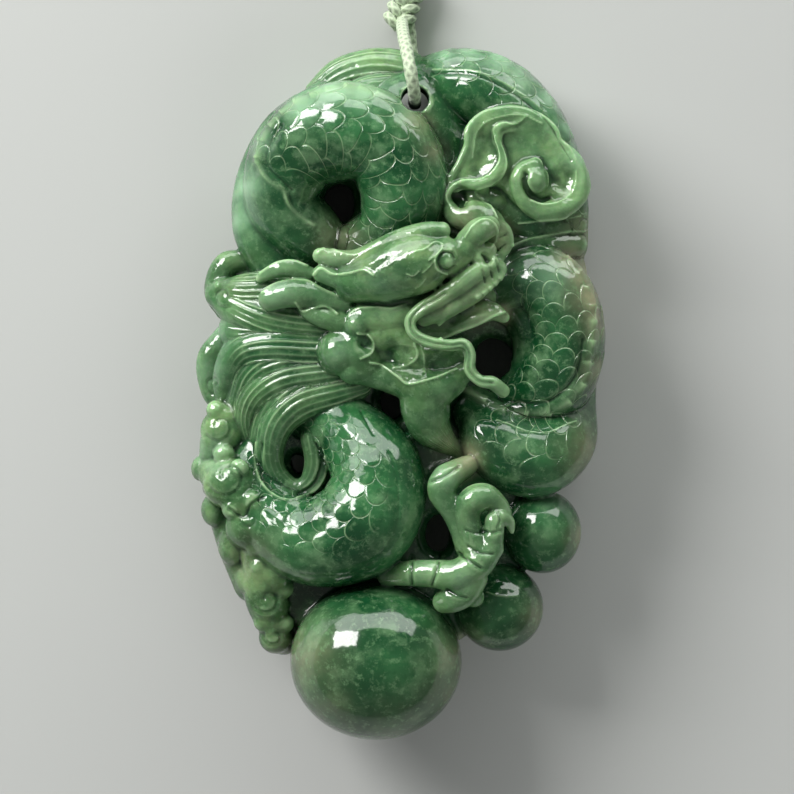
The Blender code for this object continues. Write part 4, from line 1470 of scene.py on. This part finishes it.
def jade_finish():
    """Polished jadeite: cloudy green, with painted light where it is thin or proud and on its edges and
    carved lines, and painted shade in its hollows.
    """
    jade = bpy.context.scene.jade
    material, tree, shader = new_finish("jade")
    place = node(tree, "ShaderNodeTexCoord", {}, output=3)

    def cloud(scale, detail, rough=0.55, low=0.35, high=0.65):
        values = {"Vector": place, "Scale": scale, "Detail": detail, "Roughness": rough}
        return node(tree, "ShaderNodeTexNoise", {}, values).stepped(low, high)

    def noted(name):
        return node(tree, "ShaderNodeAttribute", {"attribute_name": name}, output=2)

    thin, warm, hollow, edge = (noted(name) for name in ("thin", "warm", "hollow", "edge"))
    beige, milky_sheen, dusky_and_shade, proud = (noted(name) for name in ("beige", "milky_sheen", "dusky_and_shade", "proud"))
    scales, strands, lean = scale_lines(tree)
    # How far a form lies below its neighbours, for painted shade there.
    sunk_shade = (0 - proud).stepped(0.05, 0.8) * 0.6
    # Each layer of colour over the last: how much of it shows, and its colour.
    layers = [
        (cloud(110, 3, low=0.4, high=0.62), jade.middle),
        (cloud(310, 5, 0.6, 0.47, 0.66) * 0.45, jade.pale),
        (warm.stepped(0.05, 1.0) * (0.3 + cloud(190, 4, low=0.38, high=0.58) * 0.7), jade.warm),
        (cloud(430, 4, 0.6, 0.46, 0.62) * 0.5, jade.deep),
        # Painted shade in low-lying places, and deeper green patches that are partly the stone's own
        # tone and partly painted shade.
        ((sunk_shade + dusky_and_shade * (0.45 + cloud(360, 4, low=0.4, high=0.6) * 0.5)).clamped(0, 0.8), jade.deep),
        # Painted light on forms that stand proud of their neighbours.
        (proud.stepped(0.1, 0.8) * (0.15 + cloud(600, 4) * 0.4), jade.pale),
        # Painted sheen and highlights on the rims and tops that face the lamps.
        (milky_sheen * (0.3 + cloud(330, 4, low=0.3) * 0.5), jade.milk),
        (beige * (0.5 + cloud(300, 4, low=0.3, high=0.7) * 0.5), jade.beige),
        (cloud(1300, 4, 0.7, 0.51, 0.7) * 0.45, jade.pale),
        # Thin forms painted paler, as painted light shining through them.
        (thin.stepped(0.35, 1.0) * 0.4, jade.pale),
        # Convex edges painted paler as painted highlights, and creases painted in shade green as
        # painted shade.
        (((0.34 - hollow) * 3.2).clamped(0, 0.75), jade.edge),
        (((hollow - 0.58) * 2.4).clamped(0, 0.8), jade.shade),
        # Painted highlights along raised carved lines, scale outlines and strand crests.
        (edge * 0.5, jade.edge),
        (scales * (0.12 + cloud(260, 3) * 0.35) + strands * 0.6, jade.edge),
    ]
    colour = jade.deep
    for shown, over in layers:
        colour = mixed(tree, shown.clamped(), colour, over)
    bore = drilled(tree, place)
    # Painted shade: the hole's wall is darkened to the shade green.
    colour = mixed(tree, bore * 0.9, colour, jade.shade)
    tree.links.new(colour.socket, shader.inputs["Base Color"])
    tree.links.new((0.09 + bore * 0.8).socket, shader.inputs["Roughness"])
    fine = {"Vector": place, "Scale": 900, "Detail": 2, "Roughness": 0.55}
    rough = node(tree, "ShaderNodeTexNoise", {}, fine)
    carved = lean * 2.4 + strands * 1.1 - scales * 0.5 + rough * warm * 1.7
    bump = node(tree, "ShaderNodeBump", {}, {"Strength": 1.0, "Distance": 0.0001, "Height": carved})
    tree.links.new(bump.socket, shader.inputs["Normal"])
    for key, value in JADE_SHINE.items():
        shader.inputs[key].default_value = value
    return material


def braid_finish():
    """The cord's braid: fine crossing strands of pale thread."""
    if "braided cord" in bpy.data.materials:
        return bpy.data.materials["braided cord"]
    cord = bpy.context.scene.cord
    material, tree, shader = new_finish("braided cord")
    uv = node(tree, "ShaderNodeUVMap", {"uv_map": "braid"})
    around, along = (node(tree, "ShaderNodeSeparateXYZ", {}, [uv], index) for index in range(2))
    waves = [(part * (math.tau * 4)).maths("SINE") for part in (around + along, around - along)]
    weave = waves[0].maths("MAXIMUM", waves[1])
    place = node(tree, "ShaderNodeTexCoord", {}, output=3)
    thread = node(tree, "ShaderNodeTexNoise", {}, {"Vector": place, "Scale": 9000, "Detail": 2})
    # Painted shade in the braid's grooves and painted highlight on its crests, with the thread noise as
    # the thread's own uneven tone.
    shade = (weave * 0.3 + thread * 0.6).clamped()
    pale = tuple(min(1, part * 1.25) for part in cord.colour)
    dark = tuple(part * 0.45 for part in cord.colour)
    colour = mixed(tree, shade, dark, pale)
    tree.links.new(colour.socket, shader.inputs["Base Color"])
    threads = {"Strength": 0.5, "Distance": 0.0001, "Height": weave + thread * 0.5}
    bump = node(tree, "ShaderNodeBump", {}, threads)
    tree.links.new(bump.socket, shader.inputs["Normal"])
    shader.inputs["Roughness"].default_value = 0.62
    shader.inputs["Sheen Weight"].default_value = 0.25
    return material


def floor_finish():
    """A plain pale matt floor."""
    material, _, shader = new_finish("floor")
    shader.inputs["Base Color"].default_value = (*bpy.context.scene.stage_set.floor, 1)
    shader.inputs["Roughness"].default_value = 0.75
    return material


# What the camera looks at and the picture's width, on the grid, and the room's colour and strength.
LOOK_AT = (-7, -4, 100)
PICTURE_WIDTH = 794
ROOM_COLOUR = (0.62, 0.64, 0.62, 1)
ROOM_STRENGTH = 0.22

# Each lamp's place, size, power, colour, and turn about the direction that it faces, in degrees.
LAMPS = {
    "window": ((-0.342, 0.287, 0.304), (0.22, 0.31), 3.2, (1, 0.99, 0.97), 42),
    "wall": ((0, 0.60, 0.215), (1.3, 0.36), 5.6, (0.97, 1, 0.96), 0),
    "fill": ((0.30, -0.42, 0.42), (0.6, 0.5), 1.25, (1, 1, 1), 0),
}


def area_light(name, target, place, size, power, colour, roll):
    """A soft lamp at a place, facing a target and turned about that direction."""
    lamp = bpy.data.lights.new(name, "AREA")
    lamp.shape = "RECTANGLE"
    lamp.size, lamp.size_y = size
    lamp.energy = power
    lamp.color = colour
    holder = bpy.data.objects.new(name, lamp)
    bpy.context.scene.collection.objects.link(holder)
    holder.location = place
    facing = (Vector(place) - Vector(target)).to_track_quat("Z", "Y")
    holder.rotation_euler = (facing @ Quaternion((0, 0, 1), math.radians(roll))).to_euler()


class PENDANT_OT_stage(bpy.types.Operator):
    """Set the floor, the lamps and the camera above the carving's face"""

    bl_idname = "pendant.stage"
    bl_label = "Set the stage"

    def execute(self, context):
        stage = context.scene.stage_set
        deselect()
        bpy.ops.mesh.primitive_plane_add(size=3, location=(0, 0, 0))
        floor = context.object
        floor.name = "floor"
        floor.data.materials.append(floor_finish())
        centre = Vector(LOOK_AT) * unit()
        camera = bpy.data.cameras.new("camera")
        camera.sensor_width = 36
        camera.angle = 2 * math.atan(PICTURE_WIDTH * unit() / 2 / stage.distance)
        camera.clip_start = 0.01
        holder = bpy.data.objects.new("camera", camera)
        context.scene.collection.objects.link(holder)
        holder.location = centre + Vector((0, 0, stage.distance))
        context.scene.camera = holder
        for name, lamp in LAMPS.items():
            area_light(name, centre, *lamp)
        bpy.data.objects["fill"].visible_glossy = False
        world = bpy.data.worlds.new("room")
        world.use_nodes = True
        world.node_tree.nodes["Background"].inputs[0].default_value = ROOM_COLOUR
        world.node_tree.nodes["Background"].inputs[1].default_value = ROOM_STRENGTH
        context.scene.world = world
        context.scene.view_settings.view_transform = "Standard"
        return {"FINISHED"}


class PENDANT_PT_panel(bpy.types.Panel):
    """The pendant's pieces in the sidebar."""

    bl_idname = "PENDANT_PT_panel"
    bl_label = "Jade dragon pendant"
    bl_space_type = "VIEW_3D"
    bl_region_type = "UI"
    bl_category = "Pendant"

    def draw(self, context):
        column = self.layout.column()
        for group in (context.scene.jade, context.scene.cord, context.scene.stage_set):
            for key in group.__annotations__:
                column.prop(group, key)
        for operator in OPERATORS:
            column.operator(operator.bl_idname)


GROUPS = (JadeSettings, CordSettings, StageSettings)
OPERATORS = (PENDANT_OT_stage, PENDANT_OT_knot, PENDANT_OT_cord, PENDANT_OT_carving)


def register():
    for kind in (*GROUPS, *OPERATORS, PENDANT_PT_panel):
        bpy.utils.register_class(kind)
    bpy.types.Scene.jade = PointerProperty(type=JadeSettings)
    bpy.types.Scene.cord = PointerProperty(type=CordSettings)
    bpy.types.Scene.stage_set = PointerProperty(type=StageSettings)


def unregister():
    del bpy.types.Scene.stage_set
    del bpy.types.Scene.cord
    del bpy.types.Scene.jade
    for kind in reversed((*GROUPS, *OPERATORS, PENDANT_PT_panel)):
        bpy.utils.unregister_class(kind)


def main():
    """Builds every piece in order."""
    register()
    bpy.ops.pendant.stage()
    bpy.ops.pendant.knot()
    bpy.ops.pendant.cord()
    bpy.ops.pendant.carving()


if __name__ == "__main__":
    main()
